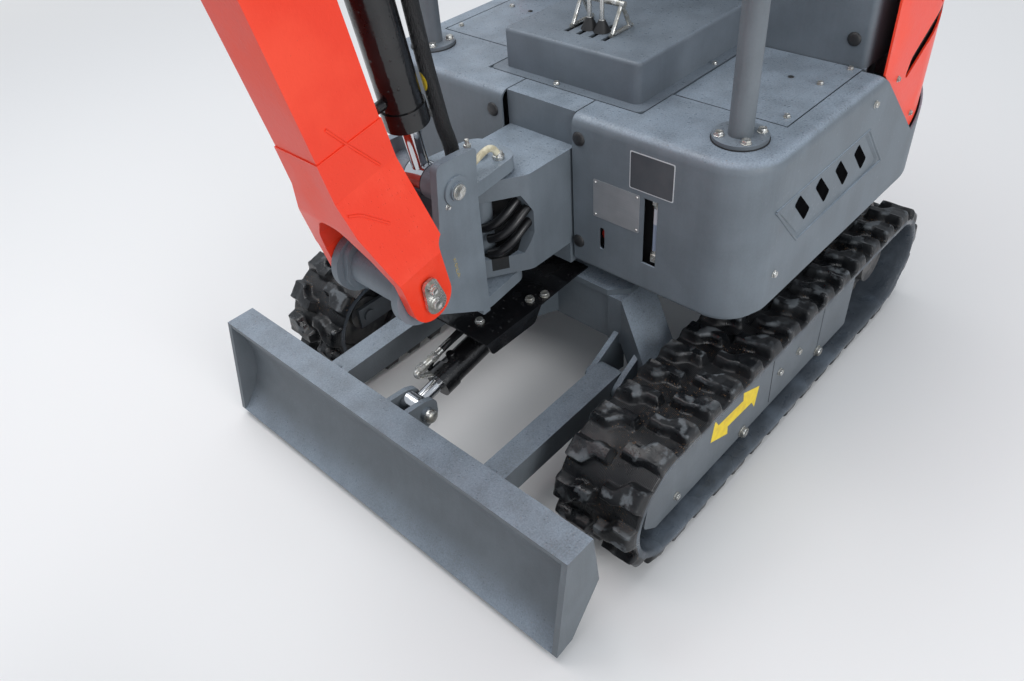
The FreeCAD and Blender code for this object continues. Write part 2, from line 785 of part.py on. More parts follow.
def house_plan(inset):
    """Outline of the house from above, drawn in by an inset."""
    x = house_front_x - inset
    tail = house_tail_x + inset
    y = house_half_width - inset
    front = max(front_corner_radius - inset, 4.0)
    rear = max(rear_corner_radius - inset, 4.0)
    return [(x, -y, front), (x, y, front), (tail, y, rear), (tail, -y, rear)]


def rolled(plan, low, high, radius):
    """Block over a plan whose top edge is rolled over by a radius."""
    block = slab(plan, "z", low, high)
    top = [e for e in block.Edges if all(abs(v.Point.z - high) < 0.01 for v in e.Vertexes)]
    return block.makeFillet(radius, top)


def house_shell(inset, low, high, radius):
    """Sheet shell with a rolled top edge, open below."""
    outside = rolled(house_plan(inset), low, high, radius)
    inside = rolled(house_plan(inset + sheet), low - 20, high - sheet, radius - sheet)
    return outside.cut(inside)


def make_side_cover():
    """Left lower cover: front apron, corner and side in one sheet with the deck's rim."""
    shell = house_shell(0.0, house_low_z, deck_z, deck_edge_radius)
    profile = [(house_front_x + 5, house_low_z - 5), (tail_seam_x, house_low_z - 5),
               (tail_seam_x, tail_seam_z),
               (tip_x, tip_z), (side_break_x, deck_z + 5), (house_front_x + 5, deck_z + 5)]
    cover = shell.common(slab(profile, "y", cover_inner_y, house_half_width + 5))
    gap = 3.0
    opening = box((deck_plate_rear_x - 40, deck_plate_front_x + gap), (0, deck_plate_outer_y + gap),
                  (deck_z - 10, deck_z + 5))
    centre = box((deck_plate_rear_x - 40, step_front_x + step_flange + gap), (0, deck_plate_inner_y),
                 (deck_z - 10, deck_z + 5))
    cover = cover.cut(opening).cut(centre)
    under = deck_z - sheet - seat_gap
    ledges = [box((deck_plate_front_x - 14, deck_plate_front_x + gap + 14),
                  (deck_plate_inner_y + 20, deck_plate_outer_y + gap + 14),
                  (under - 3, under)),
              box((side_break_x + 12, deck_plate_front_x + gap),
                  (deck_plate_outer_y - 14, deck_plate_outer_y + gap + 14), (under - 3, under)),
              box((deck_plate_front_x + gap, deck_plate_front_x + gap + 14),
                  (deck_plate_inner_y + 20, deck_plate_outer_y + gap + 14),
                  (under - 1, under + seat_gap + 1)),
              box((side_break_x + 12, deck_plate_front_x + gap + 14),
                  (deck_plate_outer_y + gap, deck_plate_outer_y + gap + 14),
                  (under - 1, under + seat_gap + 1))]
    cover = fused([cover] + ledges)
    face = house_half_width
    pocket = [(155, 596, 12), (57, 495, 12), (-280, 498, 12), (-182, 604, 12)]
    floor = [(x + sign_x * recess_slope, z + sign_z * recess_slope, 8) for (x, z, _), sign_x, sign_z in
             zip(pocket, (-1.6, 0.2, 1.6, -0.2), (-1, 1, 1, -1))]
    dish = Part.makeLoft([outline(pocket, "y", face + 0.01), outline(floor, "y", face - recess_depth_side)],
                         True, True)
    backing = slab(pocket, "y", face - sheet - recess_depth_side, face - sheet + 0.01)
    cover = fused([cover, backing]).cut(dish)
    for i in range(4):
        x = 58 - slot_step * i
        slot = [(x - 17, 566, 6), (x - 3, 592, 3), (x + 17, 556, 6), (x + 3, 530, 3)]
        cover = cover.cut(slab(slot, "y", face - 20, face + 5))
    return cover


def front_slots(cover):
    """Left cover with the upright slot for the sight tube and the short one for the switch in its front."""
    front = (house_front_x - 20, house_front_x + 5)
    gauge = box(front, (gauge_slot_y - gauge_slot_width / 2, gauge_slot_y + gauge_slot_width / 2),
                (gauge_low_z, gauge_high_z))
    y = switch_slot_y
    r = switch_slot_radius
    switch = fused([box(front, (y - r, y + r), (switch_low_z + r, switch_high_z - r)),
                    bar(V(front[0], y, switch_low_z + r), V(front[1], y, switch_low_z + r), r),
                    bar(V(front[0], y, switch_high_z - r), V(front[1], y, switch_high_z - r), r)])
    return cover.cut(gauge).cut(switch)


def make_deck_plate():
    """Removable foot plate at the left of the deck, flush with the rim."""
    gap = 3.0
    return box((deck_plate_rear_x, deck_plate_front_x), (deck_plate_inner_y + gap, deck_plate_outer_y),
               (deck_z - sheet, deck_z))


def make_step_box():
    """Raised box in the middle of the deck, with four slots for the levers, on a flanged plate."""
    high = deck_z + step_height
    rear = seat_box_front_x + seat_gap
    flange = slab([(rear, -deck_plate_inner_y + 3), (step_front_x + step_flange, -deck_plate_inner_y + 3, 16),
                   (step_front_x + step_flange, deck_plate_inner_y - 3, 16), (rear, deck_plate_inner_y - 3)],
                  "z", deck_z - sheet, deck_z)
    plan = [(rear, -step_half_width), (step_front_x, -step_half_width, 14),
            (step_front_x, step_half_width, 14),
            (rear, step_half_width)]
    block = slab(plan, "z", deck_z - sheet, high)
    top = [e for e in block.Edges if all(abs(v.Point.z - high) < 0.01 for v in e.Vertexes)]
    top = [e for e in top if e.BoundBox.XMax > rear + 1]
    block = block.makeFillet(7.0, top)
    w = step_half_width - sheet
    hollow = [(rear - 1, -w), (step_front_x - sheet, -w, 10), (step_front_x - sheet, w, 10), (rear - 1, w)]
    shell = fused([flange, block]).cut(slab(hollow, "z", deck_z - sheet - 1, high - sheet))
    for i in range(4):
        y = (i - 1.5) * slot_pitch
        x = step_front_x - 50
        slot = [(x, y - slot_width / 2), (x, y + slot_width / 2), (x - slot_length, y + slot_width / 2),
                (x - slot_length, y - slot_width / 2)]
        shell = shell.cut(slab(slot, "z", high - sheet - 2, high + 2))
    return shell


def make_house_frame():
    """Revolving frame: floor plate, front wall, swing bracket and the columns under the canopy posts."""
    floor = slab(house_plan(14.0), "z", house_floor_z, house_floor_z + house_floor_plate)
    wall_x = house_front_x - recess_depth
    wall = box((wall_x - 6, wall_x), (-cover_inner_y + 3, cover_inner_y - 3), (house_floor_z, deck_z))
    strip = box((step_front_x + step_flange + 3, wall_x), (-cover_inner_y + 3, cover_inner_y - 3),
                (deck_z - sheet, deck_z))
    nose_plan = [(100, -nose_half_width), (swing_x - 46, -nose_half_width, 30),
                 (swing_x + swing_boss_radius, -20, 30),
                 (swing_x + swing_boss_radius, 20, 30), (swing_x - 46, nose_half_width, 30),
                 (100, nose_half_width)]
    nose = slab(nose_plan, "z", nose_low_z, nose_top_z)
    hollow = box((106, nose_notch_x - 10), (-nose_half_width + 10, nose_half_width - 10),
                 (nose_low_z + 12, nose_top_z - 12))
    notch = slab([(nose_notch_x + 22, nose_low_z + nose_arm), (nose_notch_x, nose_low_z + nose_arm + 40),
                  (nose_notch_x, nose_top_z - nose_arm - 40), (nose_notch_x + 22, nose_top_z - nose_arm),
                  (swing_x + 80, nose_top_z - nose_arm), (swing_x + 80, nose_low_z + nose_arm)],
                 "y", -nose_half_width - 1, nose_half_width + 1)
    nose = nose.cut(hollow).cut(notch)
    root = box((100, wall_x + 20), (-nose_half_width, nose_half_width), (house_floor_z, nose_low_z + 12))
    frame = fused([floor, wall, strip, nose, root])
    bore = swing_pin_radius + fit_gap
    frame = frame.cut(bar(V(swing_x, 0, nose_low_z - 5), V(swing_x, 0, nose_top_z + 5), bore))
    floor_top = house_floor_z + house_floor_plate
    webs = []
    web_front = house_front_x - recess_depth - 3
    for side in (-1, 1):
        inner = side * (deck_plate_inner_y - 10)
        outer = side * (deck_plate_inner_y + 10)
        webs.append(box((seat_box_front_x - 1, web_front), sorted((inner, outer)),
                        (floor_top - 1, deck_z - sheet - seat_gap)))
    bulkhead = box((seat_box_front_x - 9, seat_box_front_x - seat_gap),
                   (-seat_box_half_width, seat_box_half_width), (floor_top - 1, deck_z))
    race = bar(V(0, 0, plate_top_z + 6), V(0, 0, house_floor_z + 1),
               slew_ring_radius - slew_race_width - seat_gap)
    race = race.cut(bar(V(0, 0, plate_top_z), V(0, 0, house_floor_z),
                        slew_ring_radius - slew_race_width - 40))
    columns = webs + [bulkhead, race]
    for side in (-1, 1):
        columns.append(bar(V(front_post_x, side * post_y, floor_top - 1),
                           V(front_post_x, side * post_y, deck_z - sheet - seat_gap), post_radius))
        columns.append(bar(V(rear_post_x, side * rear_post_y, floor_top - 1),
                           V(rear_post_x, side * rear_post_y, rear_top_z - sheet - seat_gap), post_radius))
    return fused([frame] + columns)


def make_counterweight():
    """Cast counterweight on the floor plate, which closes the tail below the rear covers."""
    low = house_floor_z + house_floor_plate + seat_gap
    outside = slab(house_plan(0.0), "z", low, deck_z)
    inside = slab(house_plan(counterweight_depth), "z", low - 5, deck_z + 5)
    slope = (tail_seam_z - tip_z) / (tail_seam_x - tip_x)
    tail = house_tail_x - 5
    side = tail_seam_x - panel_seam
    profile = [(side, low - 5), (side, tail_seam_z - slope * panel_seam),
               (tail, tail_seam_z + slope * (tail - tail_seam_x)),
               (tail, low - 5)]
    return outside.cut(inside).common(slab(profile, "y", -house_half_width - 5, house_half_width + 5))


def rear_region():
    """Side view of the red covers: a pointed lower edge that follows the covers below it."""
    slope = (tail_seam_z - tip_z) / (tail_seam_x - tip_x)
    tail = house_tail_x - 5
    drop = panel_seam * 1.3
    return [(seat_box_front_x - 1, deck_z - 4), (tip_x + 2, tip_z + drop + 4), (tip_x - 6, tip_z + drop),
            (tail, tip_z + drop + slope * (tail - tip_x)), (tail, rear_top_z + 5),
            (seat_box_front_x - 1, rear_top_z + 5)]


def make_hinge(part):
    """Hinge leaf and knuckles on the outside of the tail, above the axis for the cover and below for the door."""
    x = door_axis[0]
    z = door_axis[1]
    skin = house_tail_x + rear_inset
    half = hinge_length / 2
    end = 14.0
    if part == "door":
        leaf = box((skin - 2.5, skin + 1), (hinge_y - half, hinge_y + half), (z - 34, z - 4))
        knuckle = across(x, z, hinge_y - half, hinge_y + half, hinge_radius)
        web = box((x, skin - 0.5), (hinge_y - half, hinge_y + half), (z - 6, z))
        bore = across(x, z, hinge_y - half - 1, hinge_y + half + 1, hinge_pin_radius + fit_gap)
        return fused([leaf, knuckle, web]).cut(bore)
    pieces = [across(x, z, hinge_y - half - end, hinge_y + half + end, hinge_pin_radius)]
    for low in (hinge_y - half - end, hinge_y + half + 0.5):
        pieces.append(across(x, z, low, low + end - 0.5, hinge_radius))
        pieces.append(box((x, skin - 0.5), (low, low + end - 0.5), (z, z + 6)))
        pieces.append(box((skin - 2.5, skin + 1), (low, low + end - 0.5), (z + 4, z + 34)))
    return fused(pieces)


def make_rear_cover():
    """Left half of the red rear cover, with two slanted grille windows in its side."""
    shell = house_shell(rear_inset, tip_z - 10, rear_top_z, rear_top_radius)
    region = slab(rear_region(), "y", 1.0, house_half_width)
    cover = shell.common(region)
    w = seat_box_half_width + 3
    cover = cover.cut(box((seat_box_rear_x - 3, seat_box_front_x + 30), (-w, w),
                          (deck_z - 60, rear_top_z + 5)))
    cover = cover.cut(box((house_tail_x - 5, house_tail_x + 140), (-door_half_width, door_half_width),
                          (door_low_z, door_high_z)))
    for shift in (0.0, 105.0):
        window = [(-330 - shift * 0.9, 640 + shift, 8), (-350 - shift * 0.9, 690 + shift, 8),
                  (-520 - shift * 0.3, 800 + shift, 8),
                  (-500 - shift * 0.3, 742 + shift, 8)]
        cover = cover.cut(slab(window, "y", house_half_width - 60, house_half_width + 5))
    return fused([cover, make_hinge("cover")])


def make_rear_door():
    """Rear door of the engine bay, hung from its top edge, with three louvre slots."""
    shell = house_shell(rear_inset, tip_z - 10, rear_top_z, rear_top_radius)
    gap = 5.0
    zone = box((house_tail_x - 5, house_tail_x + 120), (-door_half_width + gap, door_half_width - gap),
               (door_low_z + gap, door_high_z - gap))
    door = shell.common(zone)
    for i in range(3):
        z = door_low_z + 60 + 60 * i
        slot = slab([(-150, z, 8), (150, z, 8), (150, z + 18, 8), (-150, z + 18, 8)], "x", house_tail_x - 5,
                    house_tail_x + 40)
        door = door.cut(slot)
    hinge = make_hinge("door")
    return fused([door, hinge, mirrored(hinge)])


def make_seat_box():
    """Grey seat box: front panel, sides and lid, open behind and below."""
    w = seat_box_half_width
    outside = box((seat_box_rear_x, seat_box_front_x), (-w, w), (deck_z + seat_gap, seat_box_top_z))
    front = [e for e in outside.Edges if e.BoundBox.XMin > seat_box_front_x - 1 and e.BoundBox.ZMin > deck_z - 1
             and (e.BoundBox.ZLength > 10 or e.BoundBox.ZMin > seat_box_top_z - 1)]
    outside = outside.makeFillet(12.0, front)
    inside = box((seat_box_rear_x - 1, seat_box_front_x - sheet), (-w + sheet, w - sheet),
                 (deck_z - 1, seat_box_top_z - sheet))
    return outside.cut(inside)


def lean_back(shape):
    """Turn a piece of the backrest back about its lower edge."""
    shape.rotate(V(seat_rear_x, 0, seat_base_z + 20), V(0, 1, 0), -seat_back_lean)
    return shape


def make_seat_base():
    """Steel pan on two slides, with two straps up the rear of the backrest."""
    w = seat_half_width - 20
    behind = seat_rear_x - seat_back_thickness / 2 - seat_gap
    pan = box((behind - 10, seat_front_x - 30), (-w, w), (seat_base_z - 12, seat_base_z))
    pieces = [pan]
    for y in (-w + 30, w - 60):
        pieces.append(box((seat_box_rear_x + 5, seat_box_front_x - 20), (y, y + 30),
                          (seat_box_top_z, seat_base_z - 12)))
        pieces.append(lean_back(box((behind - 8, behind), (y, y + 30),
                                    (seat_base_z - 10, seat_base_z + 220))))
    return fused(pieces)


def make_seat_cushion():
    """Seat cushion, as a plain rounded block."""
    w = seat_half_width
    block = slab([(seat_rear_x + 50, -w, 40), (seat_front_x, -w, 60), (seat_front_x, w, 60),
                  (seat_rear_x + 50, w, 40)],
                 "z", seat_base_z + seat_gap, seat_top_z)
    top = [e for e in block.Edges if all(abs(v.Point.z - seat_top_z) < 0.01 for v in e.Vertexes)]
    return block.makeFillet(22.0, top)


def make_seat_back():
    """Backrest, leaning back over the seat's rear edge."""
    w = seat_half_width - 5
    low = seat_base_z + 20
    block = slab([(-w, low, 30), (w, low, 30), (w - 20, seat_back_top_z, 70),
                  (-w + 20, seat_back_top_z, 70)], "x",
                 seat_rear_x - seat_back_thickness / 2, seat_rear_x + seat_back_thickness / 2)
    return lean_back(block)


def make_engine():
    """Engine, as one plain block at its place behind the seat box."""
    low = house_floor_z + house_floor_plate + seat_gap
    return box((engine_rear_x, engine_front_x), (-engine_half_width, engine_half_width), (low, engine_top_z))


def make_post(x, y, foot_z, top_z):
    """Round canopy post on a round flange, with a flange under the roof."""
    tube = bar(V(x, y, foot_z), V(x, y, top_z), post_radius)
    tube = tube.cut(bar(V(x, y, foot_z + post_flange), V(x, y, top_z - post_flange), post_radius - 3))
    foot = bar(V(x, y, foot_z), V(x, y, foot_z + post_flange), post_flange_radius)
    head = bar(V(x, y, top_z - post_flange), V(x, y, top_z), post_flange_radius)
    return fused([tube, foot, head])


def make_posts():
    """The four canopy posts."""
    front = make_post(front_post_x, post_y, deck_z + seat_gap, roof_z - seat_gap)
    rear = make_post(rear_post_x, rear_post_y, rear_top_z + seat_gap, roof_z - seat_gap)
    return Part.makeCompound(both_sides(front) + both_sides(rear))


def make_roof():
    """Canopy roof: a pressed pan with a rolled edge."""
    w = roof_half_width
    plan = [(roof_rear_x, -w, roof_corner), (roof_front_x, -w, roof_corner), (roof_front_x, w, roof_corner),
            (roof_rear_x, w, roof_corner)]
    pan = rolled(plan, roof_z, roof_z + roof_thickness, 18.0)
    inner = [(roof_rear_x + 5, -w + 5, roof_corner - 5), (roof_front_x - 5, -w + 5, roof_corner - 5),
             (roof_front_x - 5, w - 5, roof_corner - 5), (roof_rear_x + 5, w - 5, roof_corner - 5)]
    hollow = slab(inner, "z", roof_z - 1, roof_z + roof_thickness - 6)
    ribs = []
    for x in (front_post_x, rear_post_x):
        ribs.append(box((x - post_flange_radius, x + post_flange_radius), (-w + 3, w - 3),
                        (roof_z, roof_z + 8)))
    return fused([pan.cut(hollow)] + ribs)


def make_levers():
    """Two travel levers that rise through the slots of the raised box."""
    levers = []
    top = deck_z + step_height
    for side in (-1, 1):
        y = side * slot_pitch / 2
        x = step_front_x - 50 - slot_length / 2
        low = bar(V(x, y, deck_z + 20), V(x, y, top + 120), 4.5)
        high = bar(V(x, y, top + 120), V(x + 30, y + side * 60, top + 420), 4.5)
        knee = Part.makeSphere(4.6, V(x, y, top + 120))
        knob = bar(V(x + 30, y + side * 60, top + 400), V(x + 36, y + side * 72, top + 470), 14)
        boot = Part.makeCone(17, 6, 22, V(x, y, top + seat_gap))
        levers.append(fused([low, knee, high, knob, boot]))
    return Part.makeCompound(levers)


def make_sticks():
    """Two control sticks with rubber boots on the lid of the seat box."""
    sticks = []
    for side in (-1, 1):
        x = seat_box_front_x - 60
        y = side * (seat_half_width + 95)
        z = seat_box_top_z + seat_gap
        plinth = box((x - 45, x + 45), (y - 40, y + 40), (z, z + 60))
        boot = Part.makeCone(32, 12, 60, V(x, y, z + 60))
        shaft = bar(V(x, y, z + 110), V(x + 25, y, z + 250), 7)
        grip = bar(V(x + 22, y, z + 235), V(x + 42, y, z + 340), 17)
        sticks.append(fused([plinth, boot, shaft, grip]))
    return Part.makeCompound(sticks)


def make_swing_post():
    """Swing post: two lugs on the nose's vertical pin, a spine and two cheeks that carry the boom's pins."""
    low = nose_low_z - run_gap - post_lug
    high = nose_top_z + run_gap + post_lug
    outer = cheek_inner_y + cheek
    back = swing_x - swing_boss_radius - 6
    shoulder = swing_boss_radius + 4
    lug = [(back, -shoulder, 34), (back, shoulder, 34), (post_spine_x - 12, outer - 6, 16),
           (post_spine_x + post_spine, outer - 6),
           (post_spine_x + post_spine, -outer + 6), (post_spine_x - 12, -outer + 6, 16)]
    pieces = [slab(lug, "z", low, low + post_lug), slab(lug, "z", high - post_lug, high)]
    pieces.append(box((post_spine_x, post_spine_x + post_spine), (-outer, outer), (low, high)))
    x, z = boom_pivot
    fx, fz = boom_ram_foot
    plate = [(post_spine_x, low), (x - 20, z - 66, 24), (x + 50, z - 30, 40), (x + 38, z + 40, 30),
             (x - 14, z + 66, 20),
             (x - 64, z + 80, 24), (fx + 34, fz + 58, 14), (post_spine_x - 8, fz + 54, 8),
             (post_spine_x, high)]
    pieces += both_sides(slab(plate, "y", cheek_inner_y, outer))
    pieces.append(across(x, z, -boss_half_width, boss_half_width, boss_tube_radius))
    pieces += both_sides(across(x, z, boss_half_width - 16, boss_half_width, boss_flange_radius))
    eye_side = boom_ram_size[3] + side_gap
    pieces += both_sides(across(fx, fz, eye_side, cheek_inner_y, 30))
    pieces += both_sides(across(fx, fz, cheek_inner_y, outer + 4, 26))
    pieces += both_sides(across(fx, fz, outer, outer + 9, boom_ram_size[4]))
    pieces.append(bar(V(swing_x, 0, low - 6), V(swing_x, 0, high + 8), swing_pin_radius))
    post = fused(pieces)
    return post.cut(across(x, z, -boss_half_width - 1, boss_half_width + 1, boom_pin_radius + fit_gap))


def strip(line, depths):
    """Outline of a beam along a line of points, with the half depth at each."""
    upper = []
    lower = []
    for i, point in enumerate(line):
        ahead = line[min(i + 1, len(line) - 1)]
        behind = line[max(i - 1, 0)]
        first = math.radians(heading(behind, point)) if i else math.radians(heading(point, ahead))
        last = math.radians(heading(point, ahead)) if i < len(line) - 1 else first
        mean = (first + last) / 2
        reach = depths[i] / math.cos((last - first) / 2)
        upper.append((point[0] - reach * math.sin(mean), point[1] + reach * math.cos(mean)))
        lower.append((point[0] + reach * math.sin(mean), point[1] - reach * math.cos(mean)))
    return upper + lower[::-1]


def make_boom():
    """Boom: a bent box beam on a forked foot, with the brackets of two cylinders on its back."""
    knee = (boom_lower, 0.0)
    tip = arm_pivot_in_boom
    line = [(fork_end - 20, 0.0), knee, tip]
    depths = [boom_half_depth, boom_knee_depth, boom_tip_depth]
    beam = slab(strip(line, depths), "y", -boom_half_width, boom_half_width)
    short_tip = polar(knee, boom_upper - boom_slot_length - 20, -boom_bend)
    inner_line = [(fork_end - 20 + boom_wall, 0.0), knee, short_tip]
    inner_depths = [d - boom_wall for d in depths[:2]] + [boom_tip_depth + 4 - boom_wall]
    w = boom_half_width - boom_wall
    beam = beam.cut(slab(strip(inner_line, inner_depths), "y", -w, w))
    end_cap = across(tip[0], tip[1], -boom_half_width - 10, boom_half_width + 10, boom_tip_depth)
    slot_half = arm_half_width + boom_slot_side
    slot_start = polar(knee, boom_upper - boom_slot_length, -boom_bend)
    slot_end = polar(knee, boom_upper + 80, -boom_bend)
    slot = slab(strip([slot_start, slot_end], [120.0, 120.0]), "y", -slot_half, slot_half)
    pin = across(tip[0], tip[1], -boom_half_width - 16, boom_half_width + 16, arm_pin_radius)
    w_low = fork_half_width
    inner = w_low - fork_ear
    fork_plan = [(-60, -w_low), (70, -w_low), (fork_end - 70, -boom_half_width - 4),
                 (fork_end, -boom_half_width - 2),
                 (fork_end, boom_half_width + 2), (fork_end - 70, boom_half_width + 4), (70, w_low),
                 (-60, w_low)]
    mouth = [(-70, -inner), (60, -inner), (110, -inner + 22, 20), (166, -24, 40), (166, 24, 40),
             (110, inner - 22, 20), (60, inner), (-70, inner)]
    fork = slab(fork_plan, "z", -boom_half_depth - 2, boom_half_depth + 2)
    fork = fork.cut(slab(mouth, "z", -200, 200))
    hollow = box((188, fork_end - 24), (-boom_half_width + 6, boom_half_width - 6),
                 (-boom_half_depth + 8, boom_half_depth - 8))
    fork = fork.cut(hollow)
    r = fork_ear_radius
    side = [(-r, -r, r - 0.5), (-r, r, r - 0.5), (84, 46, 30), (92, boom_half_depth, 4),
            (fork_end, boom_half_depth + 2),
            (fork_end, -boom_half_depth - 2), (170, -boom_half_depth - 2, 60), (60, -r - 4, 60)]
    fork = fork.common(slab(side, "y", -w_low - 1, w_low + 1))
    foot_pin = across(0, 0, -w_low - 4, w_low + 4, boom_pin_radius)
    plate_low = boom_ram_size[3] + side_gap
    bx, bz = boom_ram_head
    ax, az = arm_ram_base
    back = boom_half_depth - 4
    ear = [(bx - 90, back), (bx - 26, bz + 20, 20), (bx + 10, bz + 34, 24), (ax - 30, az + 34, 20),
           (ax + 24, az + 30, 24),
           (ax + 36, az - 14, 16), (ax + 18, az - 64, 10), (ax + 40, az - 112), (ax, 0), (bx, 0)]
    plate = slab(ear, "y", plate_low, plate_low + bracket_plate)
    pins = [across(bx, bz, -plate_low - bracket_plate - 5, plate_low + bracket_plate + 5, boom_ram_size[4]),
            across(ax, az, -plate_low - bracket_plate - 5, plate_low + bracket_plate + 5, arm_ram_size[4])]
    boom = fused([beam, fork] + both_sides(plate))
    boom = fused([boom.cut(slab(mouth, "z", -200, 200)), end_cap])
    boom = boom.cut(slot)
    boom = fused([boom, pin, foot_pin] + pins)
    return stand(boom, boom_pivot, boom_angle)


def make_pin_locks():
    """Drop shaped plates that lock the boom's foot pin, one bolted to each ear."""
    y = fork_half_width + 4 + seat_gap
    drop = [(-24, -24, 19), (-24, 24, 19), (46, 13, 11), (46, -13, 11)]
    plate = slab(drop, "y", y, y + 6)
    bolt = across(34, 0, y + 6, y + 13, 7)
    lock = fused([plate, bolt])
    return Part.makeCompound([stand(p, boom_pivot, boom_angle) for p in both_sides(lock)])


def make_arm():
    """Arm: a tapered box beam with a raised lug for its cylinder and the bucket cylinder's bracket."""
    x, z = arm_lug
    end = arm_length + arm_end_radius
    side = [(x - 32, z - 14, 20), (x - 22, z + 34, 24), (x + 30, z + 34, 40), (60, 62, 120), (end - 120, 40),
            (end, arm_end_radius, arm_end_radius - 1), (end, -arm_end_radius, arm_end_radius - 1),
            (end - 160, -40), (330, -58), (30, -44, 30), (-38, -42, 36)]
    w = arm_half_width
    body = slab(side, "y", -w, w)
    inner = [(20, 48), (330, 50), (arm_length - 230, 38), (arm_length - 230, -30), (330, -50), (50, -36)]
    body = body.cut(slab(inner, "y", -w + arm_wall, w - arm_wall))
    eye_side = arm_ram_size[3] + side_gap
    lug_slot = box((x - 60, -36), (-eye_side, eye_side), (-100, z + 60))
    body = body.cut(lug_slot)
    heads = both_sides(across(x, z, w, w + 8, arm_ram_size[4]))
    bx, bz = bucket_ram_base
    side_y = bucket_ram_size[3] + side_gap
    ear = [(bx - 50, 50), (bx - 22, bz + 18, 18), (bx + 22, bz + 18, 18), (bx + 60, 50)]
    plates = both_sides(slab(ear, "y", side_y, side_y + 10))
    ram_pin = across(bx, bz, -side_y - 15, side_y + 15, bucket_ram_size[4])
    rocker_x = arm_length - rocker_back
    rocker_axle = across(rocker_x, 0, -w - 19, w + 19, bucket_pin_radius)
    arm = fused([body] + heads + plates + [ram_pin, rocker_axle])
    arm = arm.cut(across(0, 0, -w - 1, w + 1, arm_pin_radius + fit_gap))
    arm = arm.cut(across(arm_length, 0, -w - 1, w + 1, bucket_pin_radius + fit_gap))
    return stand(arm, arm_pivot, arm_angle)


def make_rocker():
    """Two rocker plates that join the arm to the bucket cylinder's rod and the link, with their pin."""
    low = arm_half_width + side_gap
    reach = rocker_length
    r = 24.0
    plate = slab([(-r, -r, r - 1), (reach + r, -r, r - 1), (reach + r, r, r - 1), (-r, r, r - 1)], "y", low,
                 low + 10)
    plate = plate.cut(across(0, 0, low - 1, low + 11, bucket_pin_radius + fit_gap))
    pin = across(reach, 0, -low - 15, low + 15, bucket_pin_radius - 1)
    rocker = fused(both_sides(plate) + [pin.cut(across(reach, 0, -24, 24, 40))])
    return stand(rocker, rocker_pivot, heading(rocker_pivot, rocker_pin))


def make_link():
    """Bucket link: two bars between the rocker's pin and the bucket's second pin."""
    low = bucket_ram_size[3] + side_gap
    high = arm_half_width
    r = 18.0
    plate = slab([(-r, -r, r - 1), (link_length + r, -r, r - 1), (link_length + r, r, r - 1),
                  (-r, r, r - 1)], "y", low, high)
    plate = plate.cut(across(0, 0, low - 1, high + 1, bucket_pin_radius - 1 + fit_gap))
    web = box((54, link_length - 40), (-low, low), (-6, 6))
    link = fused(both_sides(plate) + [web])
    return stand(link, rocker_pin, heading(rocker_pin, bucket_link_pin))


def make_bucket():
    """Bucket: a rolled shell between two side plates, ears for its two pins, a cutting edge and teeth."""
    w = bucket_half_width
    reach = bucket_reach
    t = bucket_shell
    outer = [(34, 66), (14, 150, 30), (120, 232, 60), (250, 236, 90), (reach, 22), (reach, 0),
             (210, 24, 60), (90, 46, 30)]
    shell_side = slab(outer, "y", -w, w)
    inner = [(34 + 14, 52), (14 + t + 2, 146, 24), (122, 232 - t - 2, 54), (248, 236 - t - 2, 82),
             (reach - 6, 22 - 12),
             (reach + 30, -60), (40, -60)]
    shell = shell_side.cut(slab(inner, "y", -w + t, w - t))
    ear_low = arm_half_width + side_gap
    e = bucket_pin_spacing
    ex = e * math.cos(math.radians(bucket_edge_angle))
    ez = e * math.sin(math.radians(bucket_edge_angle))
    ear = [(-30, -22, 24), (-34, 60, 30), (ex - 30, ez + 26, 22), (ex + 24, ez + 34, 16),
           (ex + 90, ez + 90), (60, 60), (34, -6, 20)]
    plate = slab(ear, "y", ear_low, ear_low + bucket_ear)
    reach_y = ear_low + bucket_ear
    pin = across(0, 0, -reach_y - 14, reach_y + 14, bucket_pin_radius)
    stub = across(ex, ez, ear_low, reach_y + 14, bucket_pin_radius)
    edge_start = reach - 70
    edge = slab([(edge_start, 66), (reach + 14, -6), (reach + 10, -12), (edge_start - 8, 56)], "y", -w - 3,
                w + 3)
    teeth = []
    pitch = (2 * w - tooth_width) / (tooth_count - 1)
    for i in range(tooth_count):
        y = -w + i * pitch
        tooth = slab([(reach - 24, 28), (reach + tooth_length - 34, -36), (reach + tooth_length - 40, -42),
                      (reach - 34, 2)],
                     "y", y, y + tooth_width)
        teeth.append(tooth)
    bucket = fused([shell, edge] + both_sides(plate) + [pin] + both_sides(stub) + teeth)
    return stand(bucket, bucket_pivot, bucket_angle)


def hose(points, radius):
    """Hose along straight runs joined by tangent arcs, each as large as its two runs allow."""
    edges = []
    here = points[0]
    for i in range(1, len(points) - 1):
        back = points[i - 1] - points[i]
        ahead = points[i + 1] - points[i]
        cut = 0.45 * min(back.Length, ahead.Length)
        start = points[i] + back.normalize() * cut
        end = points[i] + ahead.normalize() * cut
        half = back.getAngle(ahead) / 2
        bend = cut * math.tan(half)
        inward = (back + ahead).normalize()
        middle = points[i] + inward * (bend / math.sin(half) - bend)
        edges.append(Part.LineSegment(here, start).toShape())
        edges.append(Part.Arc(start, middle, end).toShape())
        here = end
    edges.append(Part.LineSegment(here, points[-1]).toShape())
    path = Part.Wire(edges)
    ring = Part.Wire([Part.makeCircle(radius, points[0], points[1] - points[0])])
    return path.makePipeShell([ring], True, False)


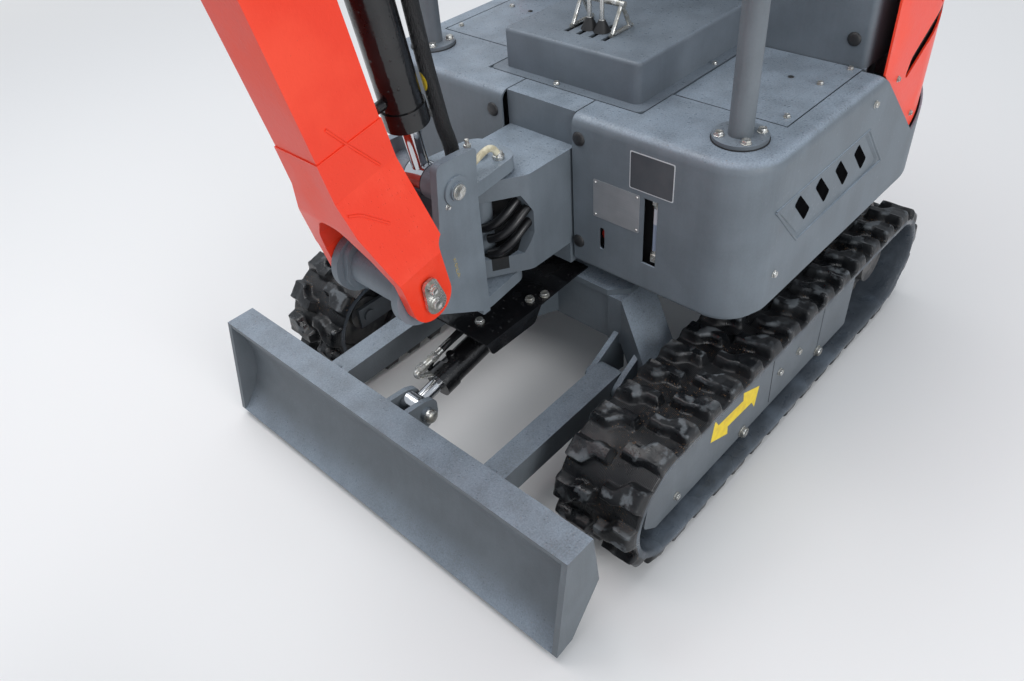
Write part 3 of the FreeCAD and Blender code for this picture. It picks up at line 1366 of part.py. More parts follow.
def make_hoses():
    """Bundle of hoses in a black sleeve, from the swing post up behind the cylinder and along the boom."""
    foot_x, foot_z = boom_ram_foot
    points = [V(foot_x + x, hose_low_y + y, foot_z + z) for x, y, z in hose_foot_run]
    points += [V(foot_x + x, hose_high_y + y, foot_z + z) for x, y, z in hose_rise_run]
    along = [world(hose_knee_point, boom_pivot, boom_angle)]
    knee = world((boom_lower, 0.0), boom_pivot, boom_angle)
    for reach, height in hose_boom_run:
        line = polar(knee, reach, boom_angle - boom_bend)
        along.append(world((0.0, height), line, boom_angle - boom_bend))
    points += [V(x, hose_high_y, z) for x, z in along]
    return hose(points, hose_radius)


boom_barrel, boom_rod = ram(boom_ram_top, boom_ram_foot, boom_ram_size, closed_boom - boom_ram_neck,
                            boom_stroke, True)
arm_barrel, arm_rod = ram(arm_ram_back, arm_ram_eye, arm_ram_size, closed_arm - arm_ram_neck, arm_stroke,
                          False)
bucket_barrel, bucket_rod = ram(bucket_ram_back, rocker_pin, bucket_ram_size, closed_bucket - bucket_ram_neck,
                                bucket_stroke, True)
blade_barrel, blade_rod = ram(blade_ram_base, blade_eye, blade_ram_size, closed_blade - blade_ram_neck,
                              blade_short + blade_long, False)

track = make_track()
idler = make_idler()
sprocket = make_sprocket()
rollers = make_rollers()
track_frame = make_track_frame()
side_cover = make_side_cover()
chassis_legs = make_chassis_legs()
deck_plate = make_deck_plate()
rear_cover = make_rear_cover()

nodes = {
    "chassis": make_chassis(),
    "chassis_legs_left": chassis_legs,
    "chassis_legs_right": mirrored(chassis_legs),
    "tie_down_eye": make_tie_eye(),
    "slew_ring": make_slew_ring(),
    "track_left": track,
    "track_right": mirrored(track),
    "track_frame_left": track_frame,
    "track_frame_right": mirrored(track_frame),
    "idler_left": idler,
    "idler_right": mirrored(idler),
    "sprocket_left": sprocket,
    "sprocket_right": mirrored(sprocket),
    "rollers_left": rollers,
    "rollers_right": mirrored(rollers),
    "blade_ram_bracket": make_blade_ram_bracket(),
    "blade_ram_guard": make_guard(),
    "dozer_blade": make_blade(),
    "blade_barrel": blade_barrel,
    "blade_rod": blade_rod,
    "house_frame": make_house_frame(),
    "side_cover_left": front_slots(side_cover),
    "side_cover_right": mirrored(side_cover),
    "deck_plate_left": deck_plate,
    "deck_plate_right": mirrored(deck_plate),
    "step_box": make_step_box(),
    "travel_levers": make_levers(),
    "control_sticks": make_sticks(),
    "seat_box": make_seat_box(),
    "seat_base": make_seat_base(),
    "seat_cushion": make_seat_cushion(),
    "seat_back": make_seat_back(),
    "engine": make_engine(),
    "counterweight": make_counterweight(),
    "rear_cover_left": rear_cover,
    "rear_cover_right": mirrored(rear_cover),
    "rear_door": make_rear_door(),
    "canopy_posts": make_posts(),
    "canopy_roof": make_roof(),
    "swing_post": make_swing_post(),
    "boom": make_boom(),
    "boom_pin_locks": make_pin_locks(),
    "boom_hoses": make_hoses(),
    "boom_barrel": boom_barrel,
    "boom_rod": boom_rod,
    "arm": make_arm(),
    "arm_barrel": arm_barrel,
    "arm_rod": arm_rod,
    "bucket_barrel": bucket_barrel,
    "bucket_rod": bucket_rod,
    "rocker": make_rocker(),
    "bucket_link": make_link(),
    "bucket": make_bucket(),
}

# The middle of the machine's box goes over the origin
whole = FreeCAD.BoundBox()
for shape in nodes.values():
    whole.add(shape.optimalBoundingBox(False))
middle_x = (whole.XMin + whole.XMax) / 2

os.makedirs("parts", exist_ok=True)
for name, shape in nodes.items():
    shape.translate(V(-middle_x, 0, 0))
    shape.exportStep("parts/" + name + ".step")
    print(name, "solids", len(shape.Solids), "valid", shape.isValid(), "volume", round(shape.Volume / 1000))
print("middle_x", round(middle_x, 2), "box", [round(v, 1) for v in (whole.XMin, whole.XMax, whole.YMin,
                                                                    whole.YMax, whole.ZMin, whole.ZMax)])
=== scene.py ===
import math

import bmesh
import bpy
import numpy as np
from mathutils import Matrix, Vector


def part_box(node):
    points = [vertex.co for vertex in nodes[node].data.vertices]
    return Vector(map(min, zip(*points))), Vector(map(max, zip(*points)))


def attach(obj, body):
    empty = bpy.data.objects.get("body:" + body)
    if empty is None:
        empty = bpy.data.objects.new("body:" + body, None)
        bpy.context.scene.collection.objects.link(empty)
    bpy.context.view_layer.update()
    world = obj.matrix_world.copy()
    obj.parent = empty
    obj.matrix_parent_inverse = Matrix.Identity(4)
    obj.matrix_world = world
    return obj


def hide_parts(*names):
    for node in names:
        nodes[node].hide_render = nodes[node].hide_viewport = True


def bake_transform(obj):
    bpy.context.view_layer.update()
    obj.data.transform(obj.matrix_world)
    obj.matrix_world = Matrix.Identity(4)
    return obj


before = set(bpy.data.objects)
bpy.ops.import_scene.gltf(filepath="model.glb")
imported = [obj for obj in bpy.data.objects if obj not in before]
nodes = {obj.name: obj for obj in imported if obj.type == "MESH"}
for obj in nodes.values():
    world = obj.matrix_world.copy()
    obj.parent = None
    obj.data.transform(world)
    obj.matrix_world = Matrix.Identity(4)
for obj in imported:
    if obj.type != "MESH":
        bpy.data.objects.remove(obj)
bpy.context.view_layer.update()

# The machine is seen from the front left, above the blade's near corner, looking down on the track.
# Places in this file are measured from the slewing axis, along the machine and up from the ground.
slew_low, slew_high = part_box("slew_ring")
slew_x = (slew_low.x + slew_high.x) / 2


def at(x, y, z):
    """A point measured from the slewing axis, moved into the frame."""
    return Vector((slew_x + x, y, z))


lens_side = Vector((-0.5273, -0.5457, -0.6512)).normalized()
lens_top = Vector((-0.5155, -0.4038, 0.7558))
lens_right = lens_side.cross(lens_top).normalized()
lens_top = lens_right.cross(lens_side)
camera_data = bpy.data.cameras.new("camera")
camera_data.sensor_width = 36.0
camera_data.lens = 29.25
camera_data.clip_start = 0.05
camera = bpy.data.objects.new("camera", camera_data)
turn = Matrix((lens_right, lens_top, -lens_side)).transposed().to_4x4()
camera.matrix_world = Matrix.Translation(at(1.3035, 0.9929, 1.3772)) @ turn
bpy.context.scene.collection.objects.link(camera)
bpy.context.scene.camera = camera
bpy.context.scene.view_settings.view_transform = "Standard"


# The studio is a pale floor that fades into a pale surround, lit from a large soft panel overhead,
# a smaller one to the left and the surround itself, as on a bright overcast day.
class Socket:
    """An output of a material's node. Sums, products and powers of it, from either side, add Math nodes."""

    def __init__(self, tree, output):
        self.tree = tree
        self.output = output

    def node(self, kind, settings, sockets, output=0):
        """Add a node of a kind, make its settings, then give its sockets values or links; return an output."""
        made = self.tree.nodes.new(kind)
        for name, value in settings.items():
            setattr(made, name, value)
        for name, value in sockets.items():
            entry = made.inputs[name]
            if isinstance(value, Socket):
                self.tree.links.new(value.output, entry)
            else:
                entry.default_value = value
        return Socket(self.tree, made.outputs[output])

    def maths(self, operation, *values):
        return self.node("ShaderNodeMath", {"operation": operation}, dict(enumerate(values)))

    def __add__(self, other):
        return self.maths("ADD", self, other)

    def __radd__(self, other):
        return self.maths("ADD", other, self)

    def __sub__(self, other):
        return self.maths("SUBTRACT", self, other)

    def __rsub__(self, other):
        return self.maths("SUBTRACT", other, self)

    def __mul__(self, other):
        return self.maths("MULTIPLY", self, other)

    def __rmul__(self, other):
        return self.maths("MULTIPLY", other, self)

    def __truediv__(self, other):
        return self.maths("DIVIDE", self, other)

    def __pow__(self, other):
        return self.maths("POWER", self, other)

    def over(self, low, high):
        """0 up to low, 1 from high, and a smooth step between them."""
        return self.node("ShaderNodeMapRange", {"interpolation_type": "SMOOTHSTEP"},
                         {"Value": self, "From Min": low, "From Max": high})

    def colours(self, low, high):
        """The colour low where this is 0 and the colour high where it is 1."""
        ends = [c if isinstance(c, Socket) else (*c, 1.0) for c in (low, high)]
        return self.node("ShaderNodeMix", {"data_type": "RGBA"}, {0: self, 6: ends[0], 7: ends[1]}, output=2)

    def noise(self, scale, detail=3.0, stretch=(1.0, 1.0, 1.0)):
        """Soft noise with this many lumps to the metre, squeezed along the axes by stretch."""
        spread = self.node("ShaderNodeMapping", {}, {"Vector": self, "Scale": stretch})
        return self.node("ShaderNodeTexNoise", {}, {"Vector": spread, "Scale": scale, "Detail": detail})


def new_finish(name, colour, roughness, metallic=0.0, coat=0.0):
    """A material with these plain values on its shader; it, its shader's inputs and its coordinates come back."""
    material = bpy.data.materials.new(name)
    material.use_nodes = True
    tree = material.node_tree
    entries = tree.nodes["Principled BSDF"].inputs
    entries["Base Color"].default_value = (*colour, 1.0)
    entries["Roughness"].default_value = roughness
    entries["Metallic"].default_value = metallic
    entries["Coat Weight"].default_value = coat
    entries["Coat Roughness"].default_value = 0.08
    place = Socket(tree, tree.nodes.new("ShaderNodeTexCoord").outputs["Object"])
    return material, entries, place


def joined(entry, socket):
    """Link a socket to one of a shader's inputs."""
    socket.tree.links.new(socket.output, entry)


def skin(grid, ring_u=False, ring_v=False):
    """Points and quads of a grid of points; a ring joins its last row, or column, to its first."""
    rows, columns = grid.shape[:2]
    index = np.arange(rows * columns).reshape(rows, columns)
    if ring_u:
        index = np.concatenate([index, index[:1]])
    if ring_v:
        index = np.concatenate([index, index[:, :1]], axis=1)
    quads = np.stack([index[:-1, :-1], index[1:, :-1], index[1:, 1:], index[:-1, 1:]], axis=-1)
    return grid.reshape(-1, 3), quads.reshape(-1, 4)


def new_mesh(name, points, faces, material, sharp=40.0):
    """An object at the origin from points and faces, smooth up to the sharp angle, with faces outwards."""
    mesh = bpy.data.meshes.new(name)
    mesh.from_pydata(np.asarray(points).tolist(), [], faces if isinstance(faces, list) else faces.tolist())
    made = bmesh.new()
    made.from_mesh(mesh)
    bmesh.ops.recalc_face_normals(made, faces=made.faces)
    made.to_mesh(mesh)
    made.free()
    mesh.shade_smooth()
    mesh.set_sharp_from_angle(angle=math.radians(sharp))
    mesh.materials.append(material)
    piece = bpy.data.objects.new(name, mesh)
    bpy.context.scene.collection.objects.link(piece)
    return piece


floor_radius = 14.0
floor_finish, floor_entries, floor_place = new_finish("studio_floor", (0.80, 0.80, 0.80), 0.75)
radius_now = floor_place.node("ShaderNodeVectorMath", {"operation": "LENGTH"}, {0: floor_place}, output=1)
seen = floor_place.node("ShaderNodeLightPath", {}, {}, output=0)
far_glow = floor_place.node("ShaderNodeEmission", {}, {"Color": (0.93, 0.93, 0.93, 1), "Strength": 1.0})
floor_tree = floor_finish.node_tree
floor_shader = Socket(floor_tree, floor_tree.nodes["Principled BSDF"].outputs[0])
faded = floor_place.node("ShaderNodeMixShader", {}, {0: radius_now.over(2.4, 7.0) * seen, 1: floor_shader, 2: far_glow})
joined(floor_tree.nodes["Material Output"].inputs["Surface"], faded)
spread = np.linspace(0.0, 1.0, 12)[:, None] ** 1.5 * floor_radius + 0.001
around = np.linspace(0, 2 * np.pi, 64, endpoint=False)[None, :]
floor_grid = np.stack([spread * np.cos(around), spread * np.sin(around), 0 * spread * around], axis=-1)
floor_points, floor_faces = skin(floor_grid, ring_v=True)
floor_faces = floor_faces.tolist() + [list(range(64))]
floor = new_mesh("floor", floor_points, floor_faces, floor_finish)

world = bpy.data.worlds.new("surround")
world.use_nodes = True
bpy.context.scene.world = world
surround = world.node_tree.nodes["Background"]
rays = Socket(world.node_tree, world.node_tree.nodes.new("ShaderNodeLightPath").outputs["Is Camera Ray"])
glossy = Socket(world.node_tree, rays.output.node.outputs["Is Glossy Ray"])
through = Socket(world.node_tree, rays.output.node.outputs["Is Transmission Ray"])
plain_view = rays.maths("MAXIMUM", rays, through)
joined(surround.inputs["Color"], plain_view.colours((0.86, 0.92, 1.0), (0.93, 0.93, 0.93)))
joined(surround.inputs["Strength"], 0.50 + plain_view * 0.50 + glossy * 0.20)


def soft_panel(name, place, target, size, watts):
    """A square lamp of a size in metres that faces a target point."""
    data = bpy.data.lights.new(name, "AREA")
    data.shape = "SQUARE"
    data.size = size
    data.energy = watts
    lamp = bpy.data.objects.new(name, data)
    lamp.location = place
    lamp.rotation_euler = (target - place).to_track_quat("-Z", "Y").to_euler()
    bpy.context.scene.collection.objects.link(lamp)


soft_panel("overhead_panel", at(0.4, -1.0, 4.6), at(0.1, 0.0, 0.5), 4.0, 165.0)
soft_panel("left_panel", at(1.1, 4.4, 2.3), at(0.0, 0.2, 0.5), 2.4, 95.0)


# The undercarriage is welded steel under a dark grey, finely textured powder coat. Rain stands on its
# level faces in beads and has run down its upright ones.
coat_grey = (0.092, 0.112, 0.130)


def rain_beads(place, cells, share):
    """Domes of rain in this many cells to the metre, on a share of the cells, as heights in metres."""
    drop = place.node("ShaderNodeTexVoronoi", {}, {"Vector": place, "Scale": cells, "Randomness": 0.9})
    chance = place.node("ShaderNodeTexVoronoi", {}, {"Vector": place, "Scale": cells, "Randomness": 0.9}, output=1)
    parts = chance.output
    split = place.node("ShaderNodeSeparateColor", {}, {"Color": Socket(place.tree, parts)})
    picked = Socket(place.tree, split.output.node.outputs[1])
    radius = 0.12 + split * 0.26
    inside = (1.0 - (drop / radius) ** 2.0).maths("MAXIMUM", 1.0 - (drop / radius) ** 2.0, 0.0)
    kept = picked.maths("LESS_THAN", picked, share)
    return (inside ** 0.5) * radius * kept * (0.9 / cells)


def within(place, middle, half):
    """1 inside the box with this middle and these half sides, 0 outside: its largest distance over half side < 1."""
    scaled = place.node("ShaderNodeMapping", {"vector_type": "TEXTURE"}, {"Vector": place, "Location": middle, "Scale": half})
    size = scaled.node("ShaderNodeVectorMath", {"operation": "ABSOLUTE"}, {0: scaled})
    x, y, z = (size.node("ShaderNodeSeparateXYZ", {}, {"Vector": size}, output=n) for n in range(3))
    return x.maths("MAXIMUM", x.maths("MAXIMUM", x, y), z).maths("LESS_THAN", x.maths("MAXIMUM", x.maths("MAXIMUM", x, y), z), 1.0)


def powder_coat(name, colour, grain=1.0, wet=1.0, gloss=0.42, painted_shade_box=None):
    """Textured paint: fine grain, beads of rain on level faces, streaks on upright ones and dusty patches; wet level
    faces are painted a lighter blue-grey as a sheen of the sky, and inside a box given by its middle and half
    sides it is painted near-black as shade."""
    material, entries, place = new_finish(name, colour, gloss, coat=0.0)
    facing = place.node("ShaderNodeNewGeometry", {}, {}, output=1)
    up = place.node("ShaderNodeSeparateXYZ", {}, {"Vector": facing}, output=2)
    level = up.over(0.45, 0.85)
    patches = place.noise(11.0, 4.0)
    streaks = place.noise(90.0, 3.0, (1.0, 1.0, 0.05))
    specks = place.noise(240.0, 2.0).over(0.70, 0.76)
    beads = (rain_beads(place, 240.0, 0.60) + rain_beads(place, 120.0, 0.25)) * (level * 0.30 + 0.02) * wet
    grit = place.noise(620.0, 2.0)
    fine = place.noise(230.0, 2.0)
    light = tuple(min(1.0, c * 1.30 + 0.008) for c in colour)
    dark = tuple(c * 0.84 for c in colour)
    mottled = (patches.over(0.30, 0.72) * 0.45 + streaks * 0.30 * (1.0 - level) + fine * 0.25)
    tone = mottled.colours(dark, light)
    # Wet level faces are painted a lighter blue-grey in patches: a painted reflection of the sky, not a colour of the
    # coat.
    painted_sheen_patches = place.noise(19.0, 5.0).over(0.30, 0.66) * 0.55 + place.noise(300.0, 2.0).over(0.40, 0.62) * 0.45
    tone_and_painted_sheen = (level * wet * (0.35 + painted_sheen_patches * 0.65)).colours(tone, (0.265, 0.320, 0.385))
    dirt = (specks * level * 0.5).colours(tone_and_painted_sheen, (0.24, 0.15, 0.085))
    # Inside the given box the colour is painted near-black shade.
    joined(entries["Base Color"], within(place, *painted_shade_box).colours(dirt, (0.010, 0.011, 0.012)) if painted_shade_box else dirt)
    bead_mask = (beads * 9000.0).maths("MINIMUM", beads * 9000.0, 1.0)
    film = place.noise(17.0, 3.0).over(0.47, 0.60) * level * wet
    joined(entries["Roughness"], (gloss + patches * 0.16 + grit * 0.05 - film * 0.20) * (1.0 - bead_mask * 0.7) + bead_mask * 0.06)
    height = grit * (0.00016 * grain) + fine * (0.00022 * grain) + beads
    joined(entries["Normal"], place.node("ShaderNodeBump", {}, {"Height": height, "Distance": 1.0, "Strength": 1.0}))
    return material


def dress(material, *names):
    """Give CAD nodes a material in place of their plain one."""
    for name in names:
        slots = nodes[name].data.materials
        if not slots:
            slots.append(material)
        for number in range(len(slots)):
            slots[number] = material


grey_coat = powder_coat("grey_powder_coat", coat_grey)
dress(grey_coat, "chassis", "chassis_legs_left", "chassis_legs_right", "tie_down_eye", "blade_ram_bracket")

# The cover plate of each track frame stands upright beside the belt, so it is dry and evenly dull.
dry_coat = powder_coat("dry_grey_coat", (0.118, 0.134, 0.150), wet=0.0, gloss=0.5)
dress(dry_coat, "track_frame_left", "track_frame_right")

# The slewing ring is turned steel, greased, with a dull worn face.
ring_steel, ring_entries, ring_place = new_finish("greased_steel", (0.22, 0.22, 0.22), 0.38, metallic=0.8)
joined(ring_entries["Roughness"], 0.25 + ring_place.noise(60.0) * 0.3)
joined(ring_entries["Base Color"], ring_place.noise(35.0).over(0.35, 0.7).colours((0.05, 0.045, 0.04), (0.30, 0.30, 0.29)))
dress(ring_steel, "slew_ring")


# Each track is one endless belt of black rubber with steel cords inside. Its two rows of lugs stand half a
# pitch apart, each lug a wide block at the belt's edge that steps sideways to a tongue at the middle.
# Wet mud lies on the lugs, and the belt between them has fine moulded ribs along its length. The belt's
# inner face and edges are painted a lighter blue-grey as a sheen of the sky.
axle_z = 0.1465
wheel_half = 0.44935
pitch_radius = 0.115
link_pitch = 0.072
link_count = 35
belt_low = -0.0085
belt_high = 0.0095
lug_rise = 0.022
track_mid = 0.412
track_half = 0.090


def eased(value, low, high):
    """0 at low, 1 at high, and 3t squared less 2t cubed between them; low may be the larger."""
    t = np.clip((value - low) / (high - low), 0.0, 1.0)
    return t * t * (3.0 - 2.0 * t)


def loop_points(place, height):
    """Points (x, z) at a height over the pitch line of two straight runs and two half circles about the
    axles, the place counted backwards along the top from over the front axle."""
    run, arc = 2 * wheel_half, np.pi * pitch_radius
    place = place % (2 * run + 2 * arc)
    part = [place < run, place < run + arc, place < 2 * run + arc]
    turn = np.select(part, [0 * place, (place - run) / pitch_radius, 0 * place + np.pi],
                     np.pi + (place - 2 * run - arc) / pitch_radius)
    middle = np.select(part, [wheel_half - place, 0 * place - wheel_half, place - run - arc - wheel_half],
                       0 * place + wheel_half)
    radius = pitch_radius + height
    return middle - radius * np.sin(turn), axle_z + radius * np.cos(turn)


def tread(place, across):
    """A lug's height from 0 to 1 at a place along the loop and a distance out from the belt's middle.

    Along the loop it is an eased flank about the lug's mid line. The mid line steps sideways and the lug's
    half width grows by an eased step of the distance out, and the height falls off at the tongue's end."""
    side = np.where(across > 0, 1.0, -1.0)
    out = np.abs(across) / track_half
    phase = place - np.where(across > 0, link_pitch / 2, 0.0)
    phase = (phase + link_pitch / 2) % link_pitch - link_pitch / 2
    middle = side * (eased(out, 0.34, 0.60) - 0.5) * 0.013
    half = 0.0085 + 0.0070 * eased(out, 0.30, 0.56)
    dished = 1.0 - 0.10 * eased(out, 0.5, 0.7) * eased(np.abs(phase - middle), half, half - 0.008)
    return eased(np.abs(phase - middle), half + 0.0075, half) * eased(out, 0.04, 0.12) * dished


edge_rows = np.array([(0.0822, belt_high, 0.97), (0.0850, belt_high, 0.86), (0.0876, belt_high - 0.0010, 0.66),
                      (0.0894, belt_high - 0.0026, 0.40), (0.0900, belt_high - 0.0052, 0.0),
                      (0.0900, belt_low + 0.0070, 0.0), (0.0884, belt_low + 0.0042, 0.0), (0.0840, belt_low + 0.0026, 0.0),
                      (0.0740, belt_low + 0.0008, 0.0), (0.0660, belt_low, 0.0)])
top_y = np.linspace(-0.0790, 0.0790, 47)
top_rows = np.stack([top_y, 0 * top_y + belt_high, 0 * top_y + 1.0], axis=1)
low_y = np.linspace(0.056, -0.056, 8)
low_rows = np.stack([low_y, 0 * low_y + belt_low, 0 * low_y], axis=1)
ring_rows = np.concatenate([top_rows, edge_rows, low_rows, edge_rows[::-1] * (-1.0, 1.0, 1.0)])
loop_length = link_pitch * link_count
place_rows = np.linspace(0.0, loop_length, link_count * 26, endpoint=False)[:, None]
ring_y = ring_rows[None, :, 0]
lug = tread(place_rows, ring_y) * ring_rows[None, :, 2]
belt_side = np.where(ring_rows[None, :, 2] + 0 * lug > 0.0, lug, -1.0)
worn = 0.0006 * np.sin(place_rows * 31.0 + 2.0 * np.sin(ring_y * 60.0)) * lug
ring_x, ring_z = loop_points(place_rows + 0 * ring_y, ring_rows[None, :, 1] + lug * lug_rise + worn - 0.0006 * lug)

rubber, rubber_entries, rubber_place = new_finish("track_rubber", (0.014, 0.015, 0.017), 0.42)
on_lug = rubber_place.node("ShaderNodeAttribute", {"attribute_name": "lug"}, {}, output=2)
along = rubber_place.node("ShaderNodeUVMap", {"uv_map": "loop"}, {})
across_belt = rubber_place.node("ShaderNodeSeparateXYZ", {}, {"Vector": along}, output=1)
ribs = (across_belt * (2 * math.pi / 0.0030)).maths("SINE", across_belt * (2 * math.pi / 0.0030))
ribbed = (1.0 - on_lug.over(0.02, 0.30)) * on_lug.over(-0.6, -0.1) * rubber_place.noise(26.0, 2.0).over(0.36, 0.56)
smear = rubber_place.noise(34.0, 4.0, (1.0, 1.0, 1.0))
thick_mud = smear.over(0.50, 0.60) * on_lug.over(0.55, 0.92) * rubber_place.noise(9.0, 2.0).over(0.34, 0.54)
thin_mud = rubber_place.noise(13.0, 4.0).over(0.45, 0.75) * 0.55
litter = rubber_place.noise(330.0, 2.0).over(0.64, 0.69) * on_lug.over(-0.6, -0.1) * (1.0 - on_lug.over(0.2, 0.6)) * rubber_place.noise(16.0, 2.0).over(0.48, 0.60)
bare_rubber = thin_mud.colours((0.0060, 0.0068, 0.0082), (0.026, 0.028, 0.031))
# The belt's edges and inner face are painted a lighter blue-grey: a painted sheen of the sky, uneven in patches.
painted_sheen_rows = 1.0 - on_lug.over(-0.8, -0.2)
rubber_and_painted_sheen = (painted_sheen_rows * (0.55 + thin_mud)).colours(bare_rubber, (0.085, 0.105, 0.130))
muddy = (thick_mud * 0.85).colours(rubber_and_painted_sheen, (0.125, 0.140, 0.152))
joined(rubber_entries["Base Color"], litter.colours(muddy, (0.20, 0.115, 0.055)))
wet_film = rubber_place.noise(20.0, 3.0).over(0.40, 0.62)
joined(rubber_entries["Roughness"], 0.50 - wet_film * 0.28 + thick_mud * 0.25 + litter * 0.2)
rubber_height = ribs * ribbed * 0.00030 + smear * 0.0016 * on_lug + rubber_place.noise(190.0, 2.0) * 0.0006
joined(rubber_entries["Normal"], rubber_place.node("ShaderNodeBump", {}, {"Height": rubber_height, "Distance": 1.0}))

for side, word in ((1.0, "left"), (-1.0, "right")):
    belt_grid = np.stack([slew_x + ring_x, side * (track_mid + ring_y + 0 * ring_x), ring_z], axis=-1)
    belt_points, belt_faces = skin(belt_grid, ring_u=True, ring_v=True)
    belt = new_mesh("track_belt_" + word, belt_points, belt_faces, rubber, sharp=60.0)
    lug_share = belt.data.attributes.new("lug", "FLOAT", "POINT")
    lug_share.data.foreach_set("value", np.broadcast_to(belt_side, ring_x.shape).ravel())
    uv = belt.data.uv_layers.new(name="loop")
    corners = np.empty(len(belt.data.loops), dtype=int)
    belt.data.loops.foreach_get("vertex_index", corners)
    loop_uv = np.stack([place_rows + 0 * ring_y, ring_y + 0 * place_rows], axis=-1).reshape(-1, 2)
    uv.data.foreach_set("uv", loop_uv[corners].ravel())
    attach(belt, "undercarriage")
    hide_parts("track_" + word)

# Sprockets, idlers and rollers are grey castings behind the covers, rubbed bare where the belt runs on them.
casting, casting_entries, casting_place = new_finish("rubbed_casting", (0.10, 0.103, 0.11), 0.5, metallic=0.3)
casting_wear = casting_place.noise(24.0, 4.0).over(0.42, 0.66)
joined(casting_entries["Base Color"], casting_wear.colours((0.060, 0.062, 0.067), (0.155, 0.150, 0.145)))
joined(casting_entries["Roughness"], 0.62 - casting_wear * 0.25)
joined(casting_entries["Normal"], casting_place.node("ShaderNodeBump", {}, {"Height": casting_place.noise(420.0, 2.0) * 0.0004,
                                                                             "Distance": 1.0}))
dress(casting, "idler_left", "idler_right", "sprocket_left", "sprocket_right", "rollers_left", "rollers_right", "engine")

# The undercarriage's fasteners are zinc plated hexagon bolts on washers, dulled by the wet.
zinc, zinc_entries, zinc_place = new_finish("zinc_plate", (0.55, 0.55, 0.53), 0.32, metallic=0.85)
tarnish = zinc_place.noise(95.0, 3.0).over(0.38, 0.68)
joined(zinc_entries["Base Color"], tarnish.colours((0.62, 0.62, 0.60), (0.36, 0.35, 0.31)))
joined(zinc_entries["Roughness"], 0.24 + tarnish * 0.24)
joined(zinc_entries["Normal"], zinc_place.node("ShaderNodeBump", {}, {"Height": zinc_place.noise(700.0, 2.0) * 0.0002, "Distance": 1.0}))
# A near-black finish for painted shade: in the groove of each cover's seam and behind the front slots.
gap_shade_black, gap_entries, gap_place = new_finish("gap_shade_black", (0.006, 0.006, 0.007), 0.8)
# A flat near-black without gloss: painted shade of the dark inside the air slots.
slot_shade_black, hollow_entries, hollow_place = new_finish("slot_shade_black", (0.003, 0.003, 0.003), 1.0)
hollow_entries["Specular IOR Level"].default_value = 0.0
joined(hollow_entries["Base Color"], hollow_place.noise(40.0).colours((0.002, 0.002, 0.002), (0.006, 0.006, 0.007)))
joined(gap_entries["Roughness"], 0.72 + gap_place.noise(90.0) * 0.2)
view_layer = bpy.context.evaluated_depsgraph_get()


def landed(node, start, direction):
    """Where a straight line from a start meets a CAD node, and the way the face looks there."""
    hit, spot, facing, _ = nodes[node].ray_cast(start, Vector(direction), depsgraph=view_layer)
    if not hit:
        raise SystemExit("nothing of " + node + " lies there: " + str(start))
    return spot, facing


def turned(profile, sides=24):
    """A closed lathe form about z from rows of (height, radius, hex); a hex of 1 flattens the ring to a
    hexagon: its radius is then divided by the cosine of the angle folded to within 30 degrees."""
    rows = np.array(profile)[:, None, :]
    angle = np.linspace(0, 2 * np.pi, sides, endpoint=False)[None, :]
    fold = (angle + np.pi / 6) % (np.pi / 3) - np.pi / 6
    radius = rows[..., 1] * (1 + rows[..., 2] * (1 / np.cos(fold) - 1))
    grid = np.stack([radius * np.cos(angle), radius * np.sin(angle), rows[..., 0] + 0 * angle], axis=-1)
    points, faces = skin(grid, ring_v=True)
    last = len(points) - sides
    return points, faces.tolist() + [list(range(sides)), list(range(last, last + sides))]


def copies(form, spots):
    """Points and faces of a form set at each spot (place, direction, size), its z axis along the direction."""
    points, faces = form
    all_points, all_faces = [], []
    for place, direction, size in spots:
        turn = np.array(Vector(direction).to_track_quat("Z", "Y").to_matrix())
        base = len(all_points) * len(points)
        all_points.append(points @ turn.T * size + np.array(place))
        all_faces += [[corner + base for corner in face] for face in faces]
    return np.concatenate(all_points), all_faces


def joined_forms(*forms):
    """One form of several."""
    base, points, faces = 0, [], []
    for some_points, some_faces in forms:
        points.append(np.asarray(some_points))
        faces += [[corner + base for corner in face] for face in some_faces]
        base += len(some_points)
    return np.concatenate(points), faces


def fixed(name, form, material, body, sharp=40.0, replaced=()):
    """A finished piece that rides on a body, in the finish it is given; the CAD parts it replaces are hidden."""
    piece = new_mesh(name, form[0], form[1], material, sharp)
    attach(piece, body)
    if replaced:
        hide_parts(*replaced)
    return piece


# Rows of height, radius and hex share, in metres, for an M10 head: washer, head with a chamfered rim and a dish.
hex_bolt = turned([(-0.0010, 0.0060, 0), (-0.0010, 0.0102, 0), (0.0018, 0.0106, 0), (0.0022, 0.0100, 0),
                   (0.0022, 0.0082, 1), (0.0072, 0.0082, 1), (0.0084, 0.0078, 0), (0.0084, 0.0050, 0),
                   (0.0078, 0.0040, 0)])
cap_screw = turned([(-0.0010, 0.0060, 0), (-0.0010, 0.0095, 0), (0.0012, 0.0098, 0), (0.0016, 0.0092, 0), (0.0016, 0.0068, 0),
                    (0.0060, 0.0068, 0), (0.0068, 0.0062, 0), (0.0068, 0.0036, 1), (0.0030, 0.0034, 1)])
cover_bolts = []
for x, z, size in ((-0.068, 0.131, 0.85), (-0.176, 0.058, 1.25), (0.012, 0.128, 0.85), (0.150, 0.058, 1.3), (0.395, 0.080, 0.85)):
    for side, word in ((1, "left"), (-1, "right")):
        spot, facing = landed("track_frame_" + word, at(x, side * 0.7, z), (0, -side, 0))
        cover_bolts.append((spot, facing, size))
fixed("track_cover_bolts", copies(hex_bolt, cover_bolts), zinc, "undercarriage")


